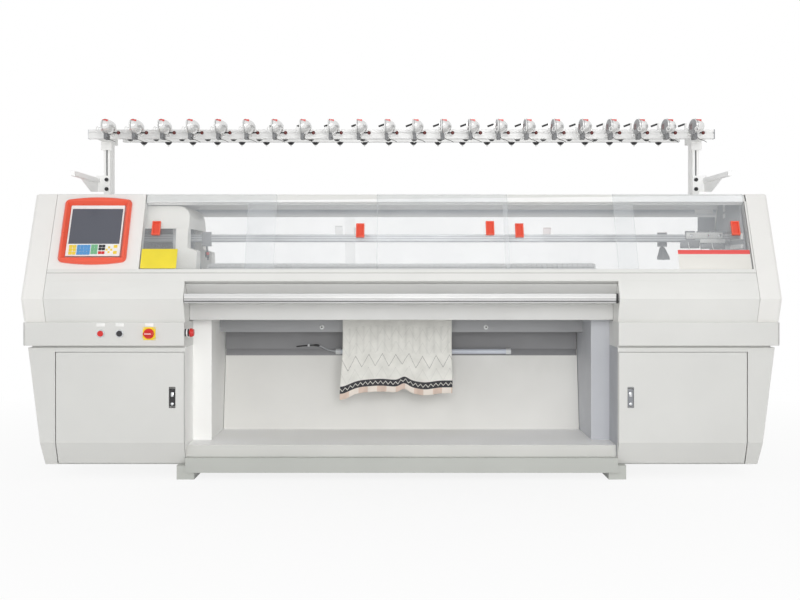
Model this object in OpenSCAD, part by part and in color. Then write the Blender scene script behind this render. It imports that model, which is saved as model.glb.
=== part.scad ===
// Flat knitting machine: V-bed with a bridging carriage behind sliding clear doors,
// on two cabinets, with a yarn stand on top. X to the right, Y to the rear, Z up.

/* [Housing] */
// Length over the end covers
body_l = 3440; // [3300:10:3600]
// Depth over the front and rear fold lines
body_d = 900; // [880:10:960]
// Height of the fold line above the floor
fold_z = 825; // [815:1:835]
// Height of the flat top
top_z = 1312; // [1305:1:1330]
// How far the front leans back between fold and top
slope_run = 222; // [215:1:230]
// Height of the seam under the upper housing
seam_z = 718; // [712:1:722]
// Length of each end cover
end_w = 102; // [90:1:120]
// How far the front goes back again under the fold
chin_run = 45; // [35:1:55]
// Sheet thickness of panels
sheet_t = 3; // [2:0.5:4]

/* [Lower part] */
// Half width of the open bay between the consoles
bay_x = 985; // [975:1:995]
// Height of the console belt's underside
belt_z = 612; // [608:1:616]
// Depth of the console belt
belt_d = 846; // [840:1:860]
// Underside of the cabinets
cab_z = 64; // [60:1:70]
// Top of the cabinets
cab_top = 602; // [598:1:604]
// Depth of the cabinets
cab_d = 800; // [790:1:806]
// Inward taper of the cabinet ends from top to bottom
cab_taper = 66; // [40:1:80]
// Height of the fold in the cabinet doors
toe_z = 168; // [150:1:190]
// How far the toe of the doors goes back
toe_run = 40; // [30:1:50]
// Thickness of the cabinet doors
door_t = 18; // [16:0.5:20]
// Fixed strip beside the foot of the cabinet doors
door_margin = 61; // [50:1:80]
// Front of the columns beside the bay
column_y = 200; // [190:1:215]
// Half width of the bay between the columns
well_x = 898; // [890:1:900]
// Height of the tray floor
tray_z = 152; // [145:1:160]

/* [Knitting parts] */
// Half length of the needle beds
bed_x = 950; // [900:10:980]
// Length of a needle bed down its slope
bed_w = 250; // [240:1:255]
// Thickness of the needle beds
bed_t = 22; // [20:0.5:24]
// Height of the needle beds' top edges
bed_z = 985; // [980:1:990]
// Half of the gap between the two beds
throat = 8; // [7:0.5:10]
// Pitch of the trick slots
slot_pitch = 25; // [20:1:40]
// Length of the carriage
carriage_l = 580; // [540:10:620]
// Gap from the parked carriage to the end wall
park_gap = 26; // [20:1:60]
// Height of the carriage hood
hood_z = 1259; // [1250:1:1262]
// Radius of the take-down rollers
roller_r = 17; // [15:0.5:17.5]
// Thickness of the knitted fabric
fabric_t = 3; // [2:0.5:4]

/* [Doors and yarn stand] */
// Width of a sliding door
pane_w = 612; // [600:1:620]
// Thickness of a sliding door
pane_t = 5; // [4:0.5:6]
// Step in depth from one door track to the next
track_step = 24; // [22:1:26]
// Pitch of the yarn tension units
unit_pitch = 130; // [124:0.5:131]
// Height of the yarn stand's arms
arm_z = 1582; // [1560:1:1600]
// Radius of the lamp tube
lamp_r = 13; // [12:0.5:15]

/* [Fits] */
// Gap between bodies that move on each other
run_gap = 0.3; // [0.2:0.05:0.5]
// Radial clearance of running pins
pin_gap = 0.05; // [0.03:0.01:0.08]
// Visible seam between panels
seam_gap = 1.5; // [1:0.5:2]

/* [Hidden] */
$fn = 48;
eps = 1;
end_x = body_l / 2;
seam_x = end_x - end_w;
panel_x = seam_x - seam_gap;
front_y = -body_d / 2;
slope_a = atan(slope_run / (top_z - fold_z));
chin_y = front_y + chin_run;
top_y = front_y + slope_run;

// Stations up the slope, measured from the fold
track_s0 = 89;
track_s1 = 148;
groove_s = track_s1 - 10;
slope_s = (top_z - fold_z) / cos(slope_a);
comb_s = slope_s - 35;
mid_s = (track_s1 + slope_s) / 2;
comb_y1 = 10.5;
comb_y2 = 45;
groove_gap = 0.5;
pane_y = 5;
pane_lift = 2;
lip_t = 4.5;
lip_d = 12;
disp_block = 418;
window_x1 = seam_x - 10;
window_x0 = disp_block - seam_x;
pull_w = 39;
pull_h = 70;
pull_s = mid_s + 14;
pull_d = 12;

// Left edges and tracks of the five front doors, spread along the window by shares
pane_side = 3;
pane_first = window_x0 + pane_side;
pane_run = window_x1 - pane_side - pane_w - pane_first;
pane_share = [0, 0.217, 0.494, 0.765, 1];
pane_x = [for (s = pane_share) pane_first + s * pane_run];
pane_track = [0, 1, 0, 1, 0];

// Middle of each pull from the left edge of its door, or from the right edge if below zero
pull_in = [60, -82, -86, 71, -56];
pull_x = [for (i = [0:4]) pane_x[i] + pull_in[i] + (pull_in[i] < 0 ? pane_w : 0)];

// Rear doors: edges where they overlap, and their pulls
rear_edge = [-240, -290];
rear_pull = [-323, -225, 752];
rear_side = 2;

// Console controls
button_in = [378, 292];
button_x = [for (b = button_in) -bay_x - b];
button_z = 667;
button_r = 13;
bezel_r = 18;
bezel_bore = 11;
collar_l = 7;
collar_web = 2;
switch_in = 158;
switch_x = -bay_x - switch_in;
switch_w = 58;
switch_t = 4;
knob_r = 23;
knob_out = 8;
shaft_r = 7.5;
knob_y = front_y - knob_out;
belt_y = -belt_d / 2;
stop_in = 23;
stop_y = belt_y + stop_in;
stop_z = 670;
stop_r = 20;

// Lower part
cab_y = -cab_d / 2;
cab_x = end_x - 20;
plinth_in = 15;
door_gap = 5;
door_x0 = bay_x + door_gap;
door_x1 = cab_x - cab_taper - door_margin;
door_top = cab_top - 22;
door_bottom = cab_z + door_gap;
hinge_in = 8;
hinge_x = door_x1 - hinge_in;
hinge_y = cab_y + door_t / 2;
hinge_r = 4;
hinge_zs = [toe_z + 42, door_top - 60];
knuckle_r = 6.2;
knuckle_h = 30;
reveal_x = hinge_x + 12.5;
lock_x = bay_x + 59;
lock_z = toe_z + 207;
lock_w = 27;
lock_h = 90;
lock_d = 12;
lever_r = 5;
lever_pin = 3;
lever_y = cab_y + 6;
lever_z = lock_z + lock_h / 2 - 10;
skid_x0 = bay_x - 40;
skid_x1 = bay_x + 40;
beam_z0 = 32;
beam_z1 = 99;
beam_d = 60;
beam_y = cab_y - 5;

// Knitting parts
under_z = bed_z - bed_t / cos(45);
support_y0 = 40;
support_y1 = 180;
support_z = seam_z;
frame_x = window_x1 - 2;
carriage_x = frame_x - park_gap - carriage_l / 2;
wall_t = 8;
wall_y0 = -top_y - 58;
wall_y1 = -front_y - 150;
wall_y2 = -chin_y - 145;
wall_z0 = top_z - 27;
wall_z1 = fold_z + 105;
way_in = 6;
way_l = 34;
way_z = 740;
cam_gap = 3;
cam_t = 52;
cam_t0 = 25;
cam_t1 = bed_w + way_in + way_l + 2;
arch_w = 46;
arch_x = carriage_l / 2 - 65;
leg_w = 56;
leg_x = carriage_l / 2 - 3 - leg_w / 2;
leg_flare = 45;
arch_share = 0.65;
hood_y = -top_y - 46;
hood_run = 50;
hood_t = 4;
arch_y = hood_y - 17;
arch_top = hood_z - hood_t - 5;
hood_r = 60;
feed_y = [-40, -14, 14, 40];
feed_t = 8;
feeder_d = 22;
reach_y = feed_y[3] + feeder_d / 2;
arch_in = reach_y + arch_share * (arch_y - reach_y);
feed_z0 = bed_z + 107;
feed_z1 = feed_z0 + 36;
feeder_x = [carriage_l / 2 + 52 - carriage_x, frame_x - 316];
hood_low = feed_z1 + 22;
leg_z = hood_low - 190;
arch_z = hood_low + 40;
roller_z = seam_z + 30;
roller_y = fabric_t / 2 + run_gap + roller_r;
journal_r = 10;
column_x0 = well_x + 7;
column_x1 = bay_x - 5;
column_d = 80;
bearing_z = roller_z + 27;
cross_d = 20;
cross_z = seam_z - 70;
cross_gap = 0.5;
fabric_x0 = -288;
fabric_x1 = 248;
fabric_z = seam_z - 346;
rod_y = front_y + 27;
rod_z = fold_z + 2;
rod_d = 34;
rod_h = 42;
rod_pin = 8;
bush_r = 14;
bush_l = 15;

// Bay and lamp
lip_y = beam_y + 40;
board_y0 = 140;
board_y1 = 218;
board_top = seam_z - 23;
board_z1 = board_top - 143;
apron_y = bed_p(bed_w + way_in + way_l, 0)[0] - 78;
apron_step = 34;
apron_lap = 40;
apron_z = fold_z - 22;
lamp_x0 = -333;
lamp_x1 = 557;
lamp_y = board_y1 - 25;
lamp_z = board_z1 - 11;
lead_r = 3;

// Display on the left of the slope
disp_x = 201 - seam_x;
disp_w = 313;
disp_h = 345;
view_w = 250;
view_h = 262;
bezel_t = 22;

// Yarn stand
bowl_r = 18;
roof_y = -top_y - 28;
skirt_y = roof_y + 5;
skirt_z = top_z - 88;
skirt_h = 43;
post_x = seam_x - 172;
post_w = 32;
post_d = 86;
post_y = roof_y - 200;
post_slot = 6;
arm_h = 32;
arm_w = 30;
strut_h = 14;
clamp_w = 50;
clamp_h = 39;
clamp_d = 14;
rail_y = [top_y + 30, roof_y - 58, -knob_y - bowl_r];
rail_d = [30, 26, 26];
rail_h = [43, 25, 25];
yarn_z = [arm_z - 7, arm_z + arm_h + 4, arm_z + arm_h + 18];
stand_x = post_x + 29;
unit_side = 40;
unit_count = floor(2 * (stand_x - unit_side) / unit_pitch);
bowl_h = 15;

// Bracket arms of the yarn table, from a plate on the front of each post
bracket_x = post_x + 42;
bracket_w = 18;
bracket_h = 22;
bracket_z = arm_z - 178;
bracket_l = 428;
plate_t = 4;
plate_h = 79;
plate_up = 14;
gusset = [307, 125, 52];
hole_in = [32, 257];
hole_r = 4.5;

// Tension units on the front rail: oval plate, half egg, lamp, knob and the stick behind the rail
unit_y = rail_y[0] - rail_d[0] / 2;
unit_head = unit_y - 85;
unit_top = yarn_z[0] + rail_h[0];
unit_mid = unit_top + 2;
unit_r = 35;
unit_l = 73;
dome_r = 33;
dome_l = 70;
stick_y = unit_y + rail_d[0] + 30;

function slope_y(z) = front_y + slope_run * (z - fold_z) / (top_z - fold_z);
function cam_top(y) = bed_z + throat + 2 * (cam_gap + cam_t) * cos(45) - y;
function bed_p(t, n) = [-throat - (t + n) * cos(45), bed_z + (n - t) * cos(45)];
function board_y(z) = board_y0 + (board_y1 - board_y0) * (z - tray_z) / (board_z1 - tray_z);

white = [0.9, 0.9, 0.89];
steel = [0.68, 0.69, 0.68];
red = [0.93, 0.33, 0.24];
black = [0.1, 0.1, 0.1];
clear = [0.8, 0.87, 0.9, 0.4];

// Shape helpers
module block(a, b) {
    translate(a) cube(b - a);
}

module yz(x0, x1) {
    translate([x0, 0, 0]) rotate([90, 0, 90]) linear_extrude(x1 - x0) children();
}

module xz(y0, y1) {
    translate([0, y1, 0]) rotate([90, 0, 0]) linear_extrude(y1 - y0) children();
}

module rod_x(x0, x1, r) {
    translate([x0, 0, 0]) rotate([0, 90, 0]) cylinder(h = x1 - x0, r = r);
}

module rod_y(y0, y1, r) {
    translate([0, y0, 0]) rotate([-90, 0, 0]) cylinder(h = y1 - y0, r = r);
}

module both() {
    children();
    mirror([1, 0, 0]) children();
}

module front_and_rear() {
    children();
    mirror([0, 1, 0]) children();
}

// Local Y goes into the housing, local Z up the slope from the fold
module on_slope() {
    translate([0, front_y, fold_z]) rotate([-slope_a, 0, 0]) children();
}

// Floor frame with skids, columns, bed supports, carriage ways, cross beam and end walls in one weldment
module base_frame() {
    way_end = bed_p(bed_w + way_in + way_l, cam_gap - run_gap);
    color(steel) difference() {
        union() {
            both() block([skid_x0, beam_y + 10, 0], [skid_x1, -beam_y, cab_z]);
            front_and_rear() block([-bay_x, beam_y, beam_z0], [bay_x, beam_y + beam_d, beam_z1]);
            both() block([column_x0, -column_d, cab_z - eps], [column_x1, column_d, support_z + eps]);
            both() block([column_x0, -support_y0 - eps, support_z - eps], [column_x1, support_y0 + eps, bearing_z]);
            block([-column_x0 - eps, support_y0, cross_z], [column_x0 + eps, support_y0 + cross_d, support_z + eps]);
            front_and_rear() yz(-frame_x - eps, frame_x + eps) polygon([
                [-support_y0, support_z], [-support_y1, support_z],
                [-support_y1, under_z + throat - support_y1], [-support_y0, under_z + throat - support_y0]]);
            front_and_rear() yz(-frame_x, frame_x) polygon([bed_p(bed_w + way_in, cam_gap - run_gap), way_end,
                [way_end[0], way_z], [-support_y1 + eps, way_z], [-support_y1 + eps, under_z + throat - support_y1 - eps],
                bed_p(bed_w + way_in, -bed_t - eps)]);
            both() yz(frame_x, frame_x + wall_t) polygon([[-wall_y2, support_z], [-wall_y1, wall_z1],
                [-wall_y0, wall_z0], [-wall_y0, top_z - sheet_t], [wall_y0, top_z - sheet_t], [wall_y0, wall_z0],
                [wall_y1, wall_z1], [wall_y2, support_z]]);
        }
        front_and_rear() both() translate([0, roller_y, roller_z])
            rod_x(column_x0 - eps, column_x1 - 15, journal_r + pin_gap);
    }
}

// Outline of a cabinet, grown inward by t
module cabinet_body(t) {
    intersection() {
        xz(cab_y + t, -cab_y - t) polygon([[bay_x + t, cab_z + t], [bay_x + t, cab_top - t],
            [cab_x - t, cab_top - t], [cab_x - cab_taper - t, cab_z + t]]);
        yz(bay_x, end_x) polygon([[cab_y + t, cab_top], [cab_y + t, toe_z],
            [cab_y + toe_run + t, cab_z], [-cab_y, cab_z], [-cab_y, cab_top]]);
    }
}

// Sheet cabinet, open behind its door, with two hinge lugs reaching behind the door's skin
module cabinet() {
    color(white) difference() {
        union() {
            difference() {
                cabinet_body(0);
                cabinet_body(sheet_t);
                block([bay_x + sheet_t, cab_y - eps, cab_z + sheet_t],
                    [reveal_x, cab_y + toe_run + 2 * sheet_t, door_top + 2]);
            }
            intersection() {
                block([reveal_x, cab_y, cab_z], [reveal_x + sheet_t, cab_y + toe_run, cab_top]);
                cabinet_body(0);
            }
            for (z = hinge_zs) translate([0, 0, z - knuckle_h / 2]) {
                translate([hinge_x, hinge_y, 0]) cylinder(h = knuckle_h, r = knuckle_r);
                block([hinge_x - 3, hinge_y, 0], [hinge_x + 3, hinge_y + 25, knuckle_h]);
                block([hinge_x - 3, hinge_y + 19, 0], [reveal_x + eps, hinge_y + 25, knuckle_h]);
            }
        }
        for (z = hinge_zs) translate([hinge_x, hinge_y, z - knuckle_h])
            cylinder(h = 2 * knuckle_h, r = hinge_r + pin_gap);
    }
}

// Folded door with a toe, notched behind its skin for the hinge lugs, pins across the notches
module cabinet_door() {
    notch = knuckle_h / 2 + 3;
    color(white) difference() {
        union() {
            difference() {
                yz(door_x0, door_x1) polygon([[cab_y, door_top], [cab_y, toe_z],
                    [cab_y + toe_run - 2, door_bottom], [cab_y + toe_run - 2 + door_t, door_bottom],
                    [cab_y + door_t, toe_z + 2], [cab_y + door_t, door_top]]);
                for (z = hinge_zs)
                    block([hinge_x - 15, cab_y + 2, z - notch], [door_x1 + eps, cab_y + door_t + eps, z + notch]);
            }
            for (z = hinge_zs) translate([hinge_x, hinge_y, z - notch - eps])
                cylinder(h = 2 * (notch + eps), r = hinge_r);
        }
        block([lock_x - lock_w / 2, cab_y - eps, lock_z - lock_h / 2],
            [lock_x + lock_w / 2, cab_y + lock_d, lock_z + lock_h / 2]);
        translate([0, lever_y, lever_z])
            rod_x(lock_x - lock_w / 2 - 5, lock_x + lock_w / 2 + 5, lever_pin + pin_gap);
    }
}

// Swing lever in the door's lock pocket, on a cross pin near its top
module lock_lever() {
    half = lock_w / 2 - 1.5;
    color(black) {
        block([lock_x - half, cab_y + 1, lock_z - lock_h / 2 + 4], [lock_x + half, cab_y + 9, lever_z]);
        translate([0, lever_y, lever_z]) {
            rod_x(lock_x - half, lock_x + half, lever_r);
            rod_x(lock_x - lock_w / 2 - 4.5, lock_x + lock_w / 2 + 4.5, lever_pin);
        }
        translate([lock_x, 0, lock_z - lock_h / 2 + 15]) rod_y(cab_y - 1, cab_y + 2, 7);
    }
}

// Belt of the console: a closed sheet box on a set-back plinth
module console_shell() {
    x1 = end_x - 3;
    r = 14;
    corner = [for (a = [0:15:90]) [x1 - r + r * sin(a), belt_y + r - r * cos(a)]];
    rear_corner = [for (a = [0:15:90]) [x1 - r + r * cos(a), -belt_y - r + r * sin(a)]];
    difference() {
        union() {
            translate([0, 0, belt_z]) linear_extrude(seam_z - belt_z)
                polygon(concat([[bay_x, belt_y]], corner, rear_corner, [[bay_x, -belt_y]]));
            block([bay_x, cab_y + plinth_in, cab_top], [cab_x - plinth_in, -cab_y - plinth_in, belt_z + eps]);
        }
        block([bay_x + sheet_t, belt_y + sheet_t, belt_z + sheet_t],
            [x1 - sheet_t, -belt_y - sheet_t, seam_z - sheet_t]);
    }
}

module left_console() {
    color(white) difference() {
        mirror([1, 0, 0]) console_shell();
        for (x = button_x) translate([x, 0, button_z]) rod_y(belt_y - eps, belt_y + 2 * sheet_t, bezel_bore + pin_gap);
        translate([switch_x, 0, button_z]) rod_y(belt_y - eps, belt_y + 2 * sheet_t, shaft_r + pin_gap);
        translate([0, stop_y, stop_z]) rod_x(-bay_x - 2 * sheet_t, -bay_x + eps, stop_r / 2 + pin_gap);
    }
}

module right_console() {
    color(white) console_shell();
}

// Chrome rings of the two push buttons, each with a guide sleeve through the belt
module button_collars() {
    color(steel) for (x = button_x) translate([x, 0, button_z]) difference() {
        union() {
            rod_y(belt_y - collar_l, belt_y, bezel_r);
            rod_y(belt_y - eps, belt_y + 20, bezel_bore);
        }
        rod_y(belt_y - collar_l - eps, belt_y - collar_web, button_r + pin_gap);
        rod_y(belt_y - collar_l - eps, belt_y + 20 + eps, shaft_r + pin_gap);
    }
}

module push_button(x) {
    translate([x, 0, button_z]) {
        rod_y(belt_y - collar_l - 6, belt_y - collar_l + 1, button_r);
        rod_y(belt_y - collar_l, belt_y + 22, shaft_r);
    }
}

module red_button() {
    color(red) push_button(button_x[0]);
}

module black_button() {
    color(black) push_button(button_x[1]);
}

module switch_plate() {
    color([0.95, 0.85, 0.15]) difference() {
        translate([switch_x - switch_w / 2, belt_y - switch_t, button_z - switch_w / 2])
            cube([switch_w, switch_t, switch_w]);
        translate([switch_x, 0, button_z]) rod_y(belt_y - 2 * switch_t, belt_y + eps, shaft_r + pin_gap);
    }
}

// Rotary main switch: round skirt, raised grip bar and shaft
module switch_knob() {
    y1 = belt_y - switch_t - run_gap;
    color(red) translate([switch_x, 0, button_z]) {
        rod_y(y1 - 10, y1, knob_r);
        block([-knob_r + 2, knob_y, -6], [knob_r - 2, y1 - 9, 6]);
        rod_y(y1 - eps, belt_y + 20, shaft_r);
    }
}

module stop_collar() {
    color(black) translate([0, stop_y, stop_z]) difference() {
        union() {
            rod_x(-bay_x, -bay_x + 18, 17);
            rod_x(-bay_x - 15, -bay_x + eps, stop_r / 2);
        }
        rod_x(-bay_x - 15 - eps, -bay_x + 18 + eps, shaft_r + pin_gap);
    }
}

module stop_head() {
    color(red) translate([0, stop_y, stop_z]) {
        rod_x(-bay_x + 23, -bay_x + 33, stop_r);
        rod_x(-bay_x + 32, -bay_x + 40, 16);
        rod_x(-bay_x - 6, -bay_x + 24, shaft_r);
    }
}

// Section of the upper housing
module housing_2d() {
    polygon([[chin_y, seam_z], [front_y, fold_z], [top_y, top_z],
        [-top_y, top_z], [-front_y, fold_z], [-chin_y, seam_z]]);
}

// Moulded end cover with a rounded outer edge, open towards the machine
module end_cover() {
    color(white) difference() {
        hull() {
            yz(seam_x, end_x - 14) housing_2d();
            yz(end_x - 5, end_x - 4) offset(delta = -4) housing_2d();
            yz(end_x - 1, end_x) offset(delta = -13) housing_2d();
        }
        yz(seam_x - eps, end_x - 7) offset(delta = -5) housing_2d();
    }
}

module left_end_cover() {
    mirror([1, 0, 0]) end_cover();
}

module right_end_cover() {
    end_cover();
}

// Sloped sheet left of the doors with the opening for the display and a folded right edge
module display_panel() {
    color(white) on_slope() difference() {
        union() {
            block([-panel_x, 0, track_s1], [window_x0, sheet_t, slope_s - 2]);
            block([window_x0 - sheet_t, 0, track_s1 + 1], [window_x0, comb_y2, comb_s - 2]);
        }
        block([disp_x - view_w / 2, -eps, mid_s - view_h / 2], [disp_x + view_w / 2, sheet_t + eps, mid_s + view_h / 2]);
    }
}

// Folded fascia under the door track, with a side plate that carries the rod's bush
module fascia() {
    z1 = fold_z + track_s0 * cos(slope_a);
    y1 = slope_y(z1);
    t = sheet_t;
    color(white) difference() {
        union() {
            yz(bay_x, panel_x) polygon([[chin_y, seam_z], [front_y, fold_z], [y1, z1], [y1 + t, z1 - t],
                [front_y + t + 0.3, fold_z], [chin_y + t, seam_z + t], [chin_y + 30, seam_z + t],
                [chin_y + 30, seam_z]]);
            yz(bay_x, bay_x + t) polygon([[chin_y, seam_z], [front_y, fold_z], [y1, z1],
                [y1 + 16, z1 - 12], [apron_y - apron_step, apron_z], [apron_y, apron_z - 8], [apron_y, seam_z]]);
            translate([0, rod_y, rod_z]) rod_x(bay_x, bay_x + bush_l, bush_r);
        }
        translate([0, rod_y, rod_z]) rod_x(bay_x - eps, bay_x + bush_l + eps, rod_pin + pin_gap);
    }
}

module left_fascia() {
    mirror([1, 0, 0]) fascia();
}

module right_fascia() {
    fascia();
}

// Section of the lower door track with its two grooves
module track_2d() {
    difference() {
        translate([0, track_s0]) square([comb_y2, track_s1 - track_s0]);
        for (i = [0, 1]) translate([pane_y + i * track_step - groove_gap, groove_s])
            square([pane_t + 2 * groove_gap, track_s1]);
        translate([-eps, track_s0 + 38]) square([2 + eps, 3]);
    }
}

// Jamb from the track up to the comb at the right end of the doors
module jamb() {
    block([window_x1, 0, track_s1 - eps], [panel_x, comb_y2, comb_s - 2]);
}

module door_track() {
    color(white) on_slope() {
        yz(-panel_x, panel_x) track_2d();
        jamb();
    }
}

// Section of the upper comb: the outer doors hang over it, the inner doors run inside it
module comb_2d() {
    difference() {
        translate([comb_y1, comb_s]) square([comb_y2 - comb_y1, slope_s - comb_s]);
        translate([pane_y + track_step - groove_gap, comb_s - eps]) square([pane_t + 2 * groove_gap, 23]);
    }
}

// Top of the housing: roof channel, front and rear combs, rear skirt
module top_beam() {
    color(white) {
        block([-panel_x, -roof_y, top_z - sheet_t], [panel_x, roof_y, top_z]);
        front_and_rear() block([-panel_x, -roof_y, top_z - 26], [panel_x, -roof_y + sheet_t, top_z]);
        block([-panel_x, top_y + 4, top_z - sheet_t], [window_x0 - eps, -roof_y + eps, top_z]);
        on_slope() yz(window_x0 + 2, window_x1) comb_2d();
        mirror([0, 1, 0]) on_slope() yz(-window_x1, window_x1) comb_2d();
        block([-frame_x + 2, skirt_y, skirt_z], [frame_x - 2, skirt_y + sheet_t, skirt_z + skirt_h]);
    }
}

// Rear of the housing: fascia, rear door track and the skirt down to the base frame
module rear_panel() {
    z1 = fold_z + track_s0 * cos(slope_a);
    y1 = slope_y(z1);
    t = sheet_t;
    color(white) mirror([0, 1, 0]) {
        yz(-panel_x, panel_x) polygon([[chin_y, seam_z], [front_y, fold_z], [y1, z1], [y1 + t, z1 - t],
            [front_y + t + 0.3, fold_z], [chin_y + t, seam_z]]);
        on_slope() {
            yz(-panel_x, panel_x) translate([0, -eps]) track_2d();
            both() jamb();
        }
        block([-bay_x + 1, chin_y, beam_z1], [bay_x - 1, chin_y + t, seam_z + eps]);
    }
}

// Outline of the display bezel: straight sides, bowed top and bottom, rounded corners
module bezel_2d(inset) {
    bow = 14;
    r = (disp_w * disp_w / 4 + bow * bow) / (2 * bow);
    k = r - disp_h / 2;
    offset(r = 24 - inset) offset(delta = -24) intersection() {
        square([disp_w, 2 * disp_h], center = true);
        translate([0, -k]) circle(r, $fn = 240);
        translate([0, k]) circle(r, $fn = 240);
    }
}

module display_bezel() {
    color(red) on_slope() translate([disp_x, 0, mid_s]) difference() {
        hull() {
            xz(-8, 0) bezel_2d(0);
            xz(-bezel_t, -bezel_t + 1) bezel_2d(9);
        }
        hull() {
            xz(0, eps) square([view_w, view_h], center = true);
            xz(-bezel_t - eps, -bezel_t) square([view_w + 30, view_h + 30], center = true);
        }
    }
}

module display_screen() {
    color([0.3, 0.32, 0.36]) on_slope() translate([disp_x, 0, mid_s])
        xz(-3, 30) square([view_w - 0.4, view_h - 0.4], center = true);
}

module keypad() {
    color([0.8, 0.8, 0.78]) on_slope() translate([disp_x, 0, mid_s - view_h / 2 + 32])
        xz(-5, -3) square([view_w - 12, 56], center = true);
}

// Clear sliding door: outer doors have a lip over the comb, inner doors end inside it
module pane(x0, x1, track) {
    y0 = pane_y + track * track_step;
    on_slope() {
        block([x0, y0, groove_s + pane_lift],
            [x1, y0 + pane_t, track == 0 ? slope_s + lip_t : comb_s + 20]);
        if (track == 0) block([x0, y0, slope_s + run_gap], [x1, y0 + lip_d, slope_s + lip_t]);
    }
}

// Cup pull glued on the outside of a door
module pull(x, track) {
    y1 = pane_y + track * track_step;
    on_slope() translate([x, 0, pull_s]) difference() {
        xz(y1 - pull_d, y1) square([pull_w, pull_h], center = true);
        xz(y1 - pull_d - eps, y1 - 4) square([pull_w - 12, pull_h - 12], center = true);
    }
}

module sliding_door(i) {
    color(clear) pane(pane_x[i], pane_x[i] + pane_w, pane_track[i]);
}

module door_pull(i) {
    color(red) pull(pull_x[i], pane_track[i]);
}

module rear_door_left() {
    color(clear) mirror([0, 1, 0]) {
        pane(-window_x1 + rear_side, rear_edge[0], 0);
        pull(rear_pull[0], 0);
    }
}

module rear_door_right() {
    color(clear) mirror([0, 1, 0]) {
        pane(rear_edge[1], window_x1 - rear_side, 1);
        for (x = [rear_pull[1], rear_pull[2]]) pull(x, 1);
    }
}

// Start and stop rod: grooved extrusion on two journals
module operating_rod() {
    x1 = bay_x - 2;
    color(steel) translate([0, rod_y, rod_z]) {
        difference() {
            block([-x1, -rod_d / 2, -rod_h / 2], [x1, rod_d / 2, rod_h / 2]);
            for (z = [-9, 5]) block([-x1 - eps, -rod_d / 2 - eps, z], [x1 + eps, -rod_d / 2 + 4, z + 4]);
        }
        rod_x(-bay_x - bush_l + 1, bay_x + bush_l - 1, rod_pin);
    }
}

// Recessed apron behind the rod: sloped upper sheet, step, upright lower sheet, rear flange
module front_apron() {
    z1 = fold_z + track_s0 * cos(slope_a) - 13;
    y1 = slope_y(z1 + 13) + 17;
    t = sheet_t;
    color(white) yz(-bay_x + 0.5, bay_x - 0.5) polygon([[y1, z1], [apron_y - apron_step, apron_z],
        [apron_y, apron_z - 8], [apron_y, seam_z + 5], [apron_y + apron_lap, seam_z + 5], [apron_y + apron_lap, seam_z + 5 + t],
        [apron_y + t, seam_z + 5 + t], [apron_y + t, apron_z - 6], [apron_y - apron_step + t, apron_z + 2],
        [y1 + t, z1 - 1]]);
}

// Cladding of the columns on both sides of the bay, notched round the cross beam
module bay_walls() {
    color(white) both() difference() {
        union() {
            block([well_x, -column_y, beam_z1], [bay_x, -column_y + sheet_t, seam_z + 2]);
            block([well_x, -column_y, beam_z1], [well_x + sheet_t, board_y1 + sheet_t, support_z]);
        }
        block([well_x - eps, support_y0 - cross_gap, cross_z - cross_gap],
            [well_x + sheet_t + eps, support_y0 + cross_d + cross_gap, support_z + eps]);
    }
}

// Leaning chute board with an upright upper part, one folded sheet standing on the tray
module back_board() {
    t = sheet_t;
    color(white) yz(-well_x + 2, well_x - 2) polygon([[board_y0, tray_z], [board_y1, board_z1],
        [board_y1, board_top], [board_y1 + t, board_top], [board_y1 + t, board_z1], [board_y0 + t, tray_z]]);
}

// Tray of the bay: floor and a front lip that stands on the base beam
module fabric_tray() {
    t = sheet_t;
    color(white) {
        block([-bay_x + 1, lip_y, tray_z - t], [bay_x - 1, -column_y, tray_z]);
        block([-well_x, -column_y - eps, tray_z - t], [well_x, board_y0 + 10, tray_z]);
        block([-bay_x + 1, lip_y, beam_z1], [bay_x - 1, lip_y + t, tray_z]);
    }
}

// Tube lamp with end caps on two clips fixed to the chute board
module work_lamp() {
    color(white) {
        translate([0, lamp_y, lamp_z]) {
            rod_x(lamp_x0 + 20, lamp_x1 - 20, lamp_r);
            for (x = [lamp_x0, lamp_x1 - 25]) rod_x(x, x + 25, lamp_r + 2);
        }
        for (x = [lamp_x0 + 60, lamp_x1 - 80]) yz(x, x + 20) polygon([[lamp_y, lamp_z - 9],
            [board_y(lamp_z - 9), lamp_z - 9], [board_y(lamp_z + 9), lamp_z + 9], [lamp_y, lamp_z + 9]]);
    }
}

// Lead of the lamp with its in-line connector, ending in the upright part of the board
module lamp_lead() {
    path = [[lamp_x0, lamp_y, lamp_z], [lamp_x0 - 35, lamp_y, lamp_z + 6], [lamp_x0 - 90, lamp_y, lamp_z + 32],
        [lamp_x0 - 150, lamp_y, lamp_z + 30], [lamp_x0 - 195, lamp_y + 8, lamp_z + 24],
        [lamp_x0 - 200, board_y1 - lead_r, lamp_z + 22]];
    color(black) difference() {
        for (i = [0:len(path) - 2]) hull() {
            translate(path[i]) sphere(lead_r, $fn = 12);
            translate(path[i + 1]) sphere(lead_r, $fn = 12);
        }
        block([lamp_x0, lamp_y - 10, lamp_z - 10], [lamp_x0 + 10, lamp_y + 10, lamp_z + 10]);
    }
}

module knitted_fabric() {
    color([0.87, 0.87, 0.85]) block([fabric_x0, -fabric_t / 2, fabric_z], [fabric_x1, fabric_t / 2, bed_z - 8]);
}

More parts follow.
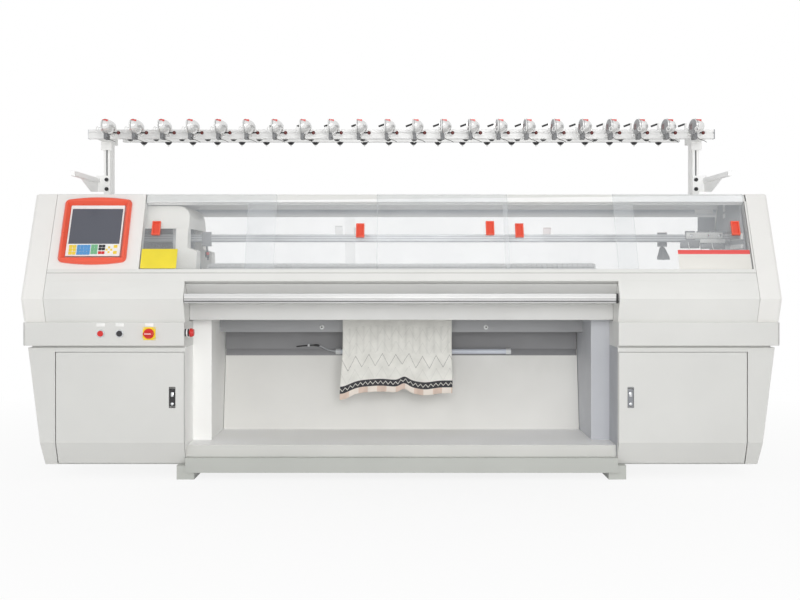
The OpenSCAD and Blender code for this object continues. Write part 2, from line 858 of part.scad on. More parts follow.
// Needle bed in its own frame: top face through the throat edge, trick slots across it
module needle_bed(lift) {
    n = floor((2 * bed_x - slot_pitch) / slot_pitch);
    difference() {
        yz(-bed_x, bed_x) polygon([[-throat, bed_z], bed_p(bed_w, 0), bed_p(bed_w, -bed_t + lift), [-throat, under_z + lift / cos(45)]]);
        for (i = [0:n]) yz(-bed_x + slot_pitch / 2 + i * slot_pitch - 2, -bed_x + slot_pitch / 2 + i * slot_pitch + 2)
            polygon([bed_p(-eps, -6), bed_p(bed_w - 30, -6), bed_p(bed_w - 30, eps), bed_p(-eps, eps)]);
    }
}

module front_needle_bed() {
    color(steel) needle_bed(0);
}

module rear_needle_bed() {
    color(steel) mirror([0, 1, 0]) needle_bed(run_gap);
}

// Carriage: two cam boxes over the beds, sliding on the sloped ways and tied by two arches
module carriage() {
    x0 = -carriage_x - carriage_l / 2;
    x1 = -carriage_x + carriage_l / 2;
    foot = cam_top(arch_y) - 26;
    crotch = cam_top(arch_in) - 41;
    color(steel) {
        front_and_rear() yz(x0, x1) polygon([bed_p(cam_t0, cam_gap), bed_p(cam_t0, cam_gap + cam_t),
            bed_p(cam_t1, cam_gap + cam_t), bed_p(cam_t1, cam_gap)]);
        for (x = [-carriage_x - arch_x, -carriage_x + arch_x]) yz(x - arch_w / 2, x + arch_w / 2)
            polygon([[-arch_y, foot], [-arch_y, arch_top], [arch_y, arch_top], [arch_y, foot],
                [arch_in, crotch], [arch_in, arch_z], [-arch_in, arch_z], [-arch_in, crotch]]);
    }
}

// Section of the hood along the machine: rounded shoulders
module shoulder_2d(w, z0, z1, r) {
    translate([-w / 2, z0]) square([w, z1 - z0 - r]);
    translate([-w / 2 + r, z0]) square([w - 2 * r, z1 - z0]);
    for (x = [-w / 2 + r, w / 2 - r]) translate([x, z1 - r]) circle(r);
}

module hood_body(t) {
    low = t > 0 ? hood_low - eps : hood_low;
    intersection() {
        translate([-carriage_x, 0, 0]) xz(-body_d / 2, body_d / 2) shoulder_2d(carriage_l - 2 * t, low, hood_z - t, hood_r - t);
        yz(-carriage_x - carriage_l / 2, -carriage_x + carriage_l / 2) polygon([[-hood_y - hood_run + t, low],
            [-hood_y + t, hood_z - t], [hood_y - t, hood_z - t], [hood_y + hood_run - t, low]]);
    }
}

// Leg cover in front of an arch leg, its foot flared along the machine
module leg_cover(x, flare) {
    x1 = x + leg_w / 2;
    intersection() {
        yz(x - leg_w / 2, x1 + flare) polygon([[-hood_y - hood_run + 0.5, hood_low + 2], [-arch_y, hood_low + 2],
            [-arch_y, leg_z], [-hood_y - hood_run - 38, leg_z]]);
        xz(-body_d / 2, 0) polygon(concat([[x - leg_w / 2, leg_z], [x - leg_w / 2, hood_low + 2], [x1, hood_low + 2]],
            flare > 0 ? [[x1, leg_z + 100], [x1 + flare, leg_z + 84], [x1 + flare, leg_z]] : [[x1, leg_z]]));
    }
}

// Hood over the arches with four leg covers in front of and behind the arch legs
module carriage_cover() {
    color(white) {
        difference() {
            hood_body(0);
            hood_body(hood_t);
        }
        front_and_rear() {
            leg_cover(-carriage_x - leg_x, 0);
            leg_cover(-carriage_x + leg_x, leg_flare);
        }
    }
}

module feeder_rails() {
    color(steel) for (y = feed_y) block([-frame_x, y - feed_t / 2, feed_z0], [frame_x, y + feed_t / 2, feed_z1]);
}

// Yarn feeder: slide block round its rail with a tapering arm down to the needle gap
module yarn_feeder(x, y) {
    tip = y < 0 ? -6 : 6;
    color(black) {
        difference() {
            block([x - 22, y - feeder_d / 2, feed_z0 - 22], [x + 22, y + feeder_d / 2, feed_z1 + 12]);
            block([x - 23, y - feed_t / 2 - run_gap, feed_z0 - run_gap], [x + 23, y + feed_t / 2 + run_gap, feed_z1 + run_gap]);
        }
        yz(x - 4, x + 4) polygon([[y - 9, feed_z0 - 21], [y + 9, feed_z0 - 21], [tip + 3, bed_z + 18], [tip - 3, bed_z + 18]]);
    }
}

module yarn_feeder_left() {
    yarn_feeder(feeder_x[0], feed_y[0]);
}

module yarn_feeder_right() {
    yarn_feeder(feeder_x[1], feed_y[3]);
}

module roller(y) {
    color([0.25, 0.25, 0.26]) translate([0, y, roller_z]) {
        rod_x(-well_x + 12, well_x - 12, roller_r);
        rod_x(-column_x1 + 20, column_x1 - 20, journal_r);
    }
}

module front_roller() {
    roller(-roller_y);
}

module rear_roller() {
    roller(roller_y);
}

// Yarn stand: two slotted posts with clamped cross arms, struts to the rear rail and the table's bracket arms
module yarn_posts() {
    arm_end = rail_y[1] + rail_d[1] / 2;
    strut_z = yarn_z[1] + rail_h[1];
    color(steel) both() difference() {
        union() {
            block([post_x - post_w / 2, post_y, top_z], [post_x + post_w / 2, post_y + post_d, arm_z + eps]);
            block([post_x - arm_w / 2, rail_y[0] + rail_d[0] / 2, arm_z], [post_x + arm_w / 2, arm_end, arm_z + arm_h]);
            block([post_x - arm_w / 2, arm_end - rail_d[1], arm_z + arm_h - eps], [post_x + arm_w / 2, arm_end, yarn_z[1]]);
            block([post_x - arm_w / 2, arm_end - rail_d[1], strut_z],
                [post_x + arm_w / 2, rail_y[2] - rail_d[2] / 2, strut_z + strut_h]);
            block([post_x - clamp_w / 2, post_y - clamp_d, arm_z - clamp_h], [post_x + clamp_w / 2, post_y + eps, arm_z + eps]);
            block([post_x - post_w / 2, post_y - plate_t, bracket_z + plate_up - plate_h],
                [bracket_x + bracket_w / 2, post_y + eps, bracket_z + plate_up]);
            block([bracket_x - bracket_w / 2, post_y - bracket_l, bracket_z - bracket_h],
                [bracket_x + bracket_w / 2, post_y - plate_t + eps, bracket_z]);
            yz(bracket_x - sheet_t / 2, bracket_x + sheet_t / 2) polygon([[post_y - gusset[0], bracket_z - bracket_h + eps],
                [post_y - gusset[1], bracket_z - bracket_h - gusset[2]], [post_y - plate_t + eps, bracket_z + plate_up - plate_h],
                [post_y - plate_t + eps, bracket_z - bracket_h + eps]]);
        }
        for (y = [post_y - eps, post_y + post_d - post_slot]) block([post_x - 4, y, bracket_z + plate_up],
            [post_x + 4, y + post_slot + eps, arm_z - clamp_h]);
        for (x = [post_x - post_w / 2 - eps, post_x + post_w / 2 - post_slot], y = [post_y + post_d / 4, post_y + post_d * 3 / 4])
            block([x, y - 4, top_z - eps], [x + post_slot + eps, y + 4, arm_z]);
        for (h = hole_in) translate([bracket_x, post_y - bracket_l + h, bracket_z - bracket_h - eps])
            cylinder(h = bracket_h + 2 * eps, r = hole_r);
    }
}

// The three cross rails of the stand, the front one grooved along its face
module yarn_rails() {
    color(steel) for (i = [0:2]) translate([0, rail_y[i], yarn_z[i]]) difference() {
        block([-stand_x, -rail_d[i] / 2, 0], [stand_x, rail_d[i] / 2, rail_h[i]]);
        block([-stand_x - eps, -rail_d[i] / 2 - eps, rail_h[i] * 0.55], [stand_x + eps, -rail_d[i] / 2 + 4, rail_h[i] * 0.7]);
    }
}

// Black guide bowls under the middle and rear rails
module guide_eyelets() {
    color(black) for (j = [1, 2], i = [0:unit_count - 1])
        translate([(i - (unit_count - 1) / 2) * unit_pitch, rail_y[j], yarn_z[j]])
            rotate_extrude() polygon([[0, 0], [bowl_r, 0], [bowl_r, -3], [bowl_r * 0.6, -bowl_h * 0.75],
                [4, -bowl_h], [4, -bowl_h - 6], [0, -bowl_h - 6]]);
}

// One tension unit: a long oval plate to the left and half an egg to the right
module tension_unit() {
    z = unit_mid;
    translate([0, unit_head, z]) {
        yz(-14, -7) polygon([for (a = [0:15:345]) [unit_l * cos(a), unit_r * sin(a)]]);
        difference() {
            translate([-8, 0, 0]) rotate([-90, 0, 0])
                rotate_extrude() polygon([for (a = [0:15:180]) [dome_r * sin(a), -dome_l * cos(a)]]);
            block([-8 - dome_r - eps, -dome_l - eps, -dome_r - eps], [-8, dome_l + eps, dome_r + eps]);
        }
        block([-9, -52, 8], [14, -30, 28]);
        block([-12, -20, -58], [4, 30, -25]);
        translate([0, 30, -24]) {
            rod_x(0, 44, 3);
            translate([44, 0, 0]) sphere(8.5);
        }
    }
    block([-12, unit_head + 40, z - 34], [12, unit_y, unit_top + 8]);
    block([-14, unit_y - eps, unit_top], [-6, stick_y + 5, unit_top + 8]);
    block([-14, stick_y - 5, unit_top], [-6, stick_y + 5, unit_top + 38]);
    translate([-28, stick_y, unit_top + 28]) rotate([0, 70, 0]) cylinder(h = 34, r = 4.5, center = true);
}

module tension_units() {
    color(steel) for (i = [0:unit_count - 1]) translate([(i - (unit_count - 1) / 2) * unit_pitch, 0, 0]) tension_unit();
}

base_frame();
mirror([1, 0, 0]) cabinet();  // left_cabinet
cabinet();  // right_cabinet
mirror([1, 0, 0]) cabinet_door();  // left_cabinet_door
cabinet_door();  // right_cabinet_door
mirror([1, 0, 0]) lock_lever();  // left_lock_lever
lock_lever();  // right_lock_lever
left_console();
right_console();
button_collars();
red_button();
black_button();
switch_plate();
switch_knob();
stop_collar();
stop_head();
left_end_cover();
right_end_cover();
display_panel();
left_fascia();
right_fascia();
door_track();
top_beam();
rear_panel();
display_bezel();
display_screen();
keypad();
sliding_door(0);  // sliding_door_1
sliding_door(1);  // sliding_door_2
sliding_door(2);  // sliding_door_3
sliding_door(3);  // sliding_door_4
sliding_door(4);  // sliding_door_5
door_pull(0);  // door_pull_1
door_pull(1);  // door_pull_2
door_pull(2);  // door_pull_3
door_pull(3);  // door_pull_4
door_pull(4);  // door_pull_5
rear_door_left();
rear_door_right();
operating_rod();
front_apron();
bay_walls();
back_board();
fabric_tray();
work_lamp();
lamp_lead();
knitted_fabric();
front_needle_bed();
rear_needle_bed();
carriage();
carriage_cover();
feeder_rails();
yarn_feeder_left();
yarn_feeder_right();
front_roller();
rear_roller();
yarn_posts();
yarn_rails();
guide_eyelets();
tension_units();
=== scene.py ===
import math

import bpy
import numpy as np
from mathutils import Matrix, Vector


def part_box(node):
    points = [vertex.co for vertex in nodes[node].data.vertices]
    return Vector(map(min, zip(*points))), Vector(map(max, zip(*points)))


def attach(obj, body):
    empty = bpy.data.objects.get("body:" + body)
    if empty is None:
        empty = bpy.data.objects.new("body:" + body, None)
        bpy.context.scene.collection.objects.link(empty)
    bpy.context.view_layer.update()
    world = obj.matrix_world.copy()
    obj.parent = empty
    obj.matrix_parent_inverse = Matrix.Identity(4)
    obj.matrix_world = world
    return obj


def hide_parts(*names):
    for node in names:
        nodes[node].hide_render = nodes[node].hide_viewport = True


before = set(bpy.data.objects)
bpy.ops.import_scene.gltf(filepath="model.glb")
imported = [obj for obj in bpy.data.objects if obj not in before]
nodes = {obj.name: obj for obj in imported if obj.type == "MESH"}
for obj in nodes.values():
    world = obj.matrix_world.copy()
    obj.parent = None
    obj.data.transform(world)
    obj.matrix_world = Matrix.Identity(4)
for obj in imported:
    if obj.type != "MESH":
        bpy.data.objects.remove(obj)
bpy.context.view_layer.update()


# Floor frame: skids, base beams, columns, bed supports, carriage ways and end walls, welded from
# box section and plate and sprayed light grey. All other pieces are bolted to it.
def tint(r, g, b):
    """Linear colour of an sRGB triple in 0 to 255: c / 12.92 near black, else the power 2.4 of
    (c + 0.055) / 1.055."""
    c = np.array([r, g, b]) / 255
    return (*np.where(c < 0.04045, c / 12.92, ((c + 0.055) / 1.055) ** 2.4).tolist(), 1.0)


def noise(tree, place, size, detail=3.0):
    """Noise from 0 to 1 with grains about size metres across."""
    grain = tree.nodes.new("ShaderNodeTexNoise")
    grain.inputs["Scale"].default_value = 1 / size
    grain.inputs["Detail"].default_value = detail
    tree.links.new(place, grain.inputs["Vector"])
    return grain.outputs["Fac"]


def spread(tree, value, low, high):
    """The middle part of a noise, 0.3 to 0.7, spread over low to high."""
    span = tree.nodes.new("ShaderNodeMapRange")
    span.inputs["From Min"].default_value = 0.3
    span.inputs["From Max"].default_value = 0.7
    span.inputs["To Min"].default_value = low
    span.inputs["To Max"].default_value = high
    tree.links.new(value, span.inputs["Value"])
    return span.outputs["Result"]


def blend_colour(tree, share, first, second):
    """Colour that goes from first to second with share."""
    mix = tree.nodes.new("ShaderNodeMix")
    mix.data_type = "RGBA"
    tree.links.new(share, mix.inputs["Factor"])
    for socket, value in ((mix.inputs["A"], first), (mix.inputs["B"], second)):
        if isinstance(value, tuple):
            socket.default_value = value
        else:
            tree.links.new(value, socket)
    return mix.outputs["Result"]


def roughen(tree, shader, height, strength, distance):
    """Bump of the shader's surface by a height between 0 and 1, distance metres deep."""
    bump = tree.nodes.new("ShaderNodeBump")
    bump.inputs["Strength"].default_value = strength
    bump.inputs["Distance"].default_value = distance
    tree.links.new(height, bump.inputs["Height"])
    tree.links.new(bump.outputs["Normal"], shader.inputs["Normal"])


def finish(name, colour, rough, metal=0.0, cloud=0.03, cloud_size=0.4, peel=0.12, peel_size=0.004):
    """Sprayed, moulded or bare surface: a wide noise moves the colour by the share cloud, a middle one
    the roughness, and a fine one of peel_size gives the orange peel or grain."""
    material = bpy.data.materials.new(name)
    material.use_nodes = True
    tree = material.node_tree
    shader = tree.nodes["Principled BSDF"]
    place = tree.nodes.new("ShaderNodeTexCoord").outputs["Object"]
    base = tint(*colour)
    deep = (*[c * (1 - cloud) for c in base[:3]], 1.0)
    pale = (*[min(1.0, c * (1 + cloud)) for c in base[:3]], 1.0)
    shade = blend_colour(tree, spread(tree, noise(tree, place, cloud_size), 0, 1), deep, pale)
    tree.links.new(shade, shader.inputs["Base Color"])
    gloss = spread(tree, noise(tree, place, cloud_size / 5), rough * 0.85, rough * 1.15)
    tree.links.new(gloss, shader.inputs["Roughness"])
    shader.inputs["Metallic"].default_value = metal
    roughen(tree, shader, noise(tree, place, peel_size, 2.0), peel, 0.0004)
    return material


def dress(material, *names, edge=0.0015):
    """Gives CAD nodes their finish and, where edge is set, a rounded edge of that width."""
    for name in names:
        node = nodes[name]
        if not node.material_slots:
            node.data.materials.append(material)
        node.material_slots[0].material = material
        if edge:
            weld = node.modifiers.new("weld", "WELD")
            weld.merge_threshold = 1e-5
            bevel = node.modifiers.new("edge", "BEVEL")
            bevel.width = edge
            bevel.segments = 2
            bevel.limit_method = "ANGLE"
            bevel.angle_limit = math.radians(40)
            bevel.harden_normals = True


def faces_of(name):
    """Middles and normals of a CAD node's faces, as two arrays of x, y, z."""
    polygons = nodes[name].data.polygons
    middles = np.empty(3 * len(polygons))
    normals = np.empty(3 * len(polygons))
    polygons.foreach_get("center", middles)
    polygons.foreach_get("normal", normals)
    return middles.reshape(-1, 3).T, normals.reshape(-1, 3).T


def paint(name, material, chosen):
    """Gives the chosen faces of a CAD node a second finish."""
    mesh = nodes[name].data
    index = np.empty(len(mesh.polygons), dtype=np.int32)
    mesh.polygons.foreach_get("material_index", index)
    mesh.materials.append(material)
    index[chosen] = len(mesh.materials) - 1
    mesh.polygons.foreach_set("material_index", index)


def skin(name, rings, material, body, loop=False):
    """Closed bodies from rings of shape bodies, stations, points, 3: neighbouring rings are joined by quads,
    and the end rings are filled, or joined to each other where loop is set."""
    index = np.arange(rings[..., 0].size).reshape(rings.shape[:3])
    low = index if loop else index[:, :-1]
    high = np.roll(index, -1, axis=1) if loop else index[:, 1:]
    quads = np.stack([low, np.roll(low, -1, 2), np.roll(high, -1, 2), high], axis=-1).reshape(-1, 4)
    faces = quads.tolist()
    if not loop:
        faces += index[:, 0, ::-1].tolist() + index[:, -1].tolist()
    mesh = bpy.data.meshes.new(name)
    mesh.from_pydata(rings.reshape(-1, 3).tolist(), [], faces)
    mesh.polygons.foreach_set("use_smooth", [True] * len(mesh.polygons))
    mesh.set_sharp_from_angle(angle=math.radians(35))
    mesh.materials.append(material)
    piece = bpy.data.objects.new(name, mesh)
    bpy.context.scene.collection.objects.link(piece)
    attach(piece, body)
    return piece


def turned(spots, out, profile, around=20):
    """Rings of turned pieces: each station of the profile is a circle of its radius, its height along out."""
    out = np.array(out, dtype=float)
    side = np.cross((0.0, 0.0, 1.0) if abs(out[2]) < 0.9 else (0.0, 1.0, 0.0), out)
    side /= np.linalg.norm(side)
    other = np.cross(out, side)
    angle = np.linspace(0, 2 * np.pi, around, endpoint=False)
    circle = np.outer(np.cos(angle), side) + np.outer(np.sin(angle), other)
    profile = np.array(profile)
    one = profile[:, :1, None] * circle + profile[:, 1:, None] * out
    return np.array(spots, dtype=float)[:, None, None, :] + one


FRONT = (0.0, -1.0, 0.0)
frame_grey = finish("frame_grey", (190, 192, 187), 0.5)
beam_grey = finish("beam_grey", (174, 175, 177), 0.5)
wall_steel = finish("wall_steel", (190, 194, 198), 0.4, metal=0.2, cloud=0.08)
dress(frame_grey, "base_frame", edge=0.002)
END_WALL_X, BAY_HALF = 1.6, 0.9
BEAM_LOW, BEAM_HIGH = 0.5, 0.78
middle, normal = faces_of("base_frame")
paint("base_frame", wall_steel, abs(middle[0]) > END_WALL_X)
in_beam = (middle[2] > BEAM_LOW) & (middle[2] < BEAM_HIGH)
paint("base_frame", beam_grey, (abs(middle[0]) < BAY_HALF) & in_beam)
bolt_white = finish("bolt_white", (232, 233, 232), 0.3, peel=0.02)
bolt_black = finish("bolt_black", (24, 24, 26), 0.35, peel=0.03)
BEAM_BOLTS = [(x, 0.0402, 0.672) for x in (-0.393, 0.0, 0.419)]
CUP = [(0.0115, 0), (0.0115, 0.0016), (0.0105, 0.0022), (0.0085, 0.0022), (0.0085, 0.006), (0.0075, 0.0068),
       (0.004, 0.0068)]
SOCKET = [(0.0039, 0.004), (0.0039, 0.0071), (0.003, 0.0072)]
skin("cross_beam_bolts", turned(BEAM_BOLTS, FRONT, CUP), bolt_white, "machine")
skin("cross_beam_sockets", turned(BEAM_BOLTS, FRONT, SOCKET, 6), bolt_black, "machine")

# Fabric bay: tray, column cladding and the chute board behind the cloth, folded sheet with a matt
# sprayed finish. The upright top of the board, and a strip that overlaps the leaning part, are painted dark
# grey as painted shade.
bay_paint = finish("bay_paint", (254, 253, 250), 0.55)
chute_paint = finish("chute_paint", (238, 237, 233), 0.6)
board_painted_shade = finish("board_painted_shade", (142, 142, 144), 0.5, cloud=0.06)
dress(bay_paint, "fabric_tray", "bay_walls", edge=0.001)
# The right-hand bay wall and its front faces are painted grey-blue as painted shade.
bay_shade = finish("bay_shade", (198, 200, 205), 0.5, cloud=0.05)
# The tray's upward faces are painted lighter as painted light, and its front faces darker as painted shade.
tray_floor_painted_light = finish("tray_floor_painted_light", (255, 255, 252), 0.5)
tray_lip_painted_shade = finish("tray_lip_painted_shade", (214, 214, 210), 0.5)
middle, normal = faces_of("bay_walls")
paint("bay_walls", bay_shade, (middle[0] > 0) & ((abs(normal[0]) > 0.9) | (normal[1] < -0.9)))
middle, normal = faces_of("fabric_tray")
paint("fabric_tray", tray_floor_painted_light, normal[2] > 0.9)
paint("fabric_tray", tray_lip_painted_shade, normal[1] < -0.9)
dress(chute_paint, "back_board", edge=0.001)
middle, normal = faces_of("back_board")
# Upright board faces above the fold: dark grey painted shade.
BOARD_FOLD_Z = 0.556
paint("back_board", board_painted_shade, (middle[2] > BOARD_FOLD_Z) & (abs(normal[2]) < 0.1))


def raised(spots, across, up, sizes, thick, corner=0.002, edge=0.0006):
    """Rings of rounded plates: corners are quarter circles, the walls rise to thick along across x up, and
    the top edge is broken by edge."""
    across = np.array(across, dtype=float)
    up = np.array(up, dtype=float)
    out = np.cross(across, up)
    spots = np.array(spots, dtype=float)
    half = np.broadcast_to(np.array(sizes, dtype=float) / 2, (len(spots), 2))
    quarter = np.repeat(np.arange(4), 6)
    angle = quarter * np.pi / 2 + np.tile(np.linspace(0, np.pi / 2, 6), 4)
    sign = np.array([[1, 1], [-1, 1], [-1, -1], [1, -1]])[quarter]
    heading = np.stack([np.cos(angle), np.sin(angle)], axis=1)
    inset = np.array([0, 0, 0.3, 1])[:, None, None] * edge
    height = np.array([0, thick - edge, thick - 0.3 * edge, thick])[:, None, None]
    flat = sign * (half[:, None, None, :] - corner) + (corner - inset) * heading
    return spots[:, None, None, :] + flat[..., :1] * across + flat[..., 1:] * up + height * out


RIGHT = (1.0, 0.0, 0.0)
UPRIGHT = (0.0, 0.0, 1.0)
BOARD_Y, BOARD_UP = 0.218, (0.0, 0.1985, 0.9801)
board_low, board_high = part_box("back_board")
overlap = (board_high[0] - board_low[0] - 0.004, 0.034)
# A dark grey strip over the leaning part just below the fold, also painted shade.
shade_strip_rings = raised([(0, 0.2148, 0.5358)], RIGHT, BOARD_UP, overlap, 0.001, 0.002, 0.0002)
skin("board_painted_shade_strip", shade_strip_rings, board_painted_shade, "machine")

# Work lamp: a glass tube with moulded end caps on two clips. Its lead leaves the left cap through a
# sleeve, runs to an in-line connector held by a clip, and goes through the board.
tube_glass = finish("tube_glass", (214, 219, 230), 0.12, cloud=0.05, cloud_size=0.2, peel=0.0)
cap_white = finish("cap_white", (224, 226, 228), 0.35)
dress(tube_glass, "work_lamp", edge=0)
middle, normal = faces_of("work_lamp")
CAP_LEFT, CAP_RIGHT, CLIP_Y = -0.307, 0.531, 0.2065
paint("work_lamp", cap_white, (middle[0] < CAP_LEFT) | (middle[0] > CAP_RIGHT) | (middle[1] > CLIP_Y))


def tube(paths, radius, around=8, beside=(0.0, 1.0, 0.0)):
    """Rings of round bodies of the given radius at each point of paths, square to the path."""
    ahead = np.gradient(paths, axis=1)
    ahead /= np.linalg.norm(ahead, axis=2, keepdims=True)
    side = np.cross(beside, ahead)
    side /= np.linalg.norm(side, axis=2, keepdims=True)
    other = np.cross(ahead, side)
    angle = np.linspace(0, 2 * np.pi, around, endpoint=False)[:, None]
    radius = np.broadcast_to(np.asarray(radius, dtype=float), paths.shape[:2])[..., None, None]
    round_way = np.cos(angle) * side[:, :, None] + np.sin(angle) * other[:, :, None]
    return paths[:, :, None] + radius * round_way


def eased(points, count, width=0.12):
    """Points spread evenly on a line whose corners are rounded: its dense points are averaged over a share
    of its length, with the ends mirrored so that they stay."""
    points = np.array(points, dtype=float)
    run = np.concatenate([[0], np.cumsum(np.linalg.norm(np.diff(points, axis=0), axis=1))])
    fine = np.linspace(0, run[-1], 401)
    line = np.stack([np.interp(fine, run, points[:, i]) for i in range(3)], axis=1)
    half = int(401 * width / 2)
    ends = np.concatenate([2 * line[0] - line[half:0:-1], line, 2 * line[-1] - line[-2:-half - 2:-1]])
    total = np.cumsum(np.concatenate([np.zeros((1, 3)), ends]), axis=0)
    soft = (total[2 * half + 1:] - total[:-2 * half - 1]) / (2 * half + 1)
    run = np.concatenate([[0], np.cumsum(np.linalg.norm(np.diff(soft, axis=0), axis=1))])
    even = np.linspace(0, run[-1], count)
    return np.stack([np.interp(even, run, soft[:, i]) for i in range(3)], axis=1)


LEAD = [(-0.333, 0.193, 0.541), (-0.368, 0.193, 0.547), (-0.423, 0.193, 0.573), (-0.483, 0.193, 0.571),
        (-0.528, 0.201, 0.565), (-0.533, 0.217, 0.563)]
lead_black = finish("lead_black", (38, 38, 40), 0.5, peel_size=0.001)
lead_grey = finish("lead_grey", (176, 178, 182), 0.45, peel_size=0.001)
lead_line = eased(LEAD, 28, 0.16)
LEAD_THICK, BESIDE = 0.006, (0.0, 0.4, 0.9)
PLUG_RADII = [0.0034, 0.0056, 0.0058, 0.005, 0.0034]
SLEEVE_RADII = [0.0062, 0.0058, 0.0048, 0.0042] + [0.0038] * 8
lead_tube = tube(lead_line[None], LEAD_THICK / 2, 10, BESIDE)
plug_tube = tube(lead_line[None, 11:16], PLUG_RADII, 12, BESIDE)
sleeve_tube = tube(lead_line[None, :12], SLEEVE_RADII, 12, BESIDE)
lamp_lead = skin("lamp_lead_cord", lead_tube, lead_black, "machine")
lead_plug = skin("lead_connector", plug_tube, bolt_black, "machine")
sleeve = skin("lead_sleeve", sleeve_tube, lead_grey, "machine")
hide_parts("lamp_lead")
hook = lead_line[18]
clip = raised([(hook[0], BOARD_Y, hook[2])], RIGHT, UPRIGHT, (0.01, 0.012), BOARD_Y - hook[1] + 0.004)
skin("lead_clip", clip, cap_white, "machine")

# Cabinets and their doors: folded sheet in the white of the machine, the toe folded back. Each door
# has a swing lock let into it with a moulded rim, a chrome catch and a round push on its lever.
cabinet_white = finish("cabinet_white", (219, 219, 216), 0.42)
dress(cabinet_white, "left_cabinet", "right_cabinet", "left_cabinet_door", "right_cabinet_door", edge=0.0012)
# The cabinets' inner sides are painted: the left a brighter white as painted light, the right grey as painted
# shade.
right_flank_shade = finish("right_flank_shade", (176, 178, 182), 0.42)
FLANK_X = 0.9855
for side, flank in (("left", bay_paint), ("right", right_flank_shade)):
    middle, normal = faces_of(f"{side}_cabinet")
    paint(f"{side}_cabinet", flank, (abs(normal[0]) > 0.9) & (abs(middle[0]) < FLANK_X))
lock_black = finish("lock_black", (38, 38, 40), 0.35)
lock_grey = finish("lock_grey", (132, 134, 138), 0.3, metal=0.6)
chrome = finish("chrome", (214, 216, 218), 0.12, metal=1.0, peel=0.0)
dress(lock_black, "left_lock_lever", edge=0.001)
dress(lock_grey, "right_lock_lever", edge=0.001)


def rim(spots, across, up, outer, inner, thick, corner=0.003, shift=(0.0, 0.0)):
    """Rings of flat frames: the outer wall rises, the top goes in to the opening, which lies shift off the
    middle, and the inner wall goes down again."""
    walls = raised(spots, across, up, outer, thick, corner, 0.0)[:, [0, 3]]
    moved = np.array(spots, dtype=float) + shift[0] * np.array(across) + shift[1] * np.array(up)
    opening = raised(moved, across, up, inner, thick, corner * 0.7, 0.0)[:, [3, 0]]
    return np.concatenate([walls, opening], axis=1)


LOCK_X, LOCK_Y, LOCK_Z = 1.044, -0.4, 0.375
LOCK_OUTER, LOCK_INNER = (0.0286, 0.0952), (0.0268, 0.0898)
PUSH = [(0.0068, 0), (0.0068, 0.001), (0.006, 0.0019), (0.004, 0.0024), (0.001, 0.0026)]
for side, sign, rim_finish in (("left", -1, lock_black), ("right", 1, lock_grey)):
    x = sign * LOCK_X
    around_lock = rim([(x, LOCK_Y, LOCK_Z)], RIGHT, UPRIGHT, LOCK_OUTER, LOCK_INNER, 0.0016, 0.002)
    skin(f"{side}_lock_rim", around_lock, rim_finish, f"{side}_door", loop=True)
    skin(f"{side}_lock_push", turned([(x, -0.401, 0.345)], FRONT, PUSH), chrome, f"{side}_lever")
    catch = raised([(x, -0.399, 0.388)], RIGHT, UPRIGHT, (0.012, 0.02), 0.0014, 0.003)
    skin(f"{side}_lock_catch", catch, chrome, f"{side}_lever")

# Consoles: closed sheet belts with the controls. Push buttons sit in chrome rings, the main switch on
# a yellow plate, and a bare white plate is glued over each control.
dress(cabinet_white, "left_console", "right_console", edge=0.0012)
dress(chrome, "button_collars", edge=0.0008)
signal_red = finish("signal_red", (214, 40, 36), 0.3, peel=0.03)
dress(signal_red, "red_button", "switch_knob", "stop_head", edge=0.001)
button_black = finish("button_black", (44, 44, 47), 0.35, peel=0.03)
dress(button_black, "black_button", "stop_collar", edge=0.001)
signal_yellow = finish("signal_yellow", (250, 222, 40), 0.4, peel=0.03)
dress(signal_yellow, "switch_plate", edge=0.001)
plate_white = finish("plate_white", (244, 244, 242), 0.3, peel=0.02)
BELT_Y, SWITCH_X, SWITCH_Z = -0.423, -1.143, 0.667
PLATE_SPOTS = [(x, BELT_Y, 0.7065) for x in (-1.363, -1.277, SWITCH_X)]
skin("control_plates", raised(PLATE_SPOTS, RIGHT, UPRIGHT, (0.038, 0.015), 0.0012), plate_white, "machine")
SCREW_SPOTS = [(SWITCH_X + x, -0.427, SWITCH_Z + z) for x in (-0.024, 0.024) for z in (-0.024, 0.024)]
SCREW = [(0.0028, 0), (0.0028, 0.0008), (0.002, 0.0014)]
skin("switch_screws", turned(SCREW_SPOTS, FRONT, SCREW, 12), chrome, "machine")
STOP_RING = [(0.0172, 0), (0.0182, 0.001), (0.0182, 0.005), (0.0172, 0.006)]
skin("stop_ring", turned([(-0.978, -0.4, 0.67)], RIGHT, STOP_RING), plate_white, "machine")
pointer = raised([(SWITCH_X, -0.4579, SWITCH_Z)], RIGHT, UPRIGHT, (0.03, 0.003), 0.0004, 0.0012, 0.0001)
skin("switch_pointer", pointer, plate_white, "main_switch")

# Needle beds: two ground steel plates at 45 degrees with a row of latch needles in their slots. The
# rear bed slides sideways for racking and takes its needles with it.
steel = finish("steel", (165, 167, 168), 0.35, metal=0.9)
bed_steel = finish("bed_steel", (255, 255, 254), 0.45, cloud=0.04)
needle_steel = finish("needle_steel", (252, 253, 254), 0.4)
butt_steel = finish("butt_steel", (120, 122, 128), 0.4, metal=0.3)
dress(bed_steel, "front_needle_bed", "rear_needle_bed", edge=0)
THROAT_HALF, THROAT_Z = 0.008, 0.985


def bed_spot(along, over, sign):
    """Points in the plane across the machine, by how far along the bed's face they lie below the throat and
    how far over the face."""
    c = math.sqrt(0.5)
    return sign * (THROAT_HALF + (along + over) * c), THROAT_Z + (over - along) * c


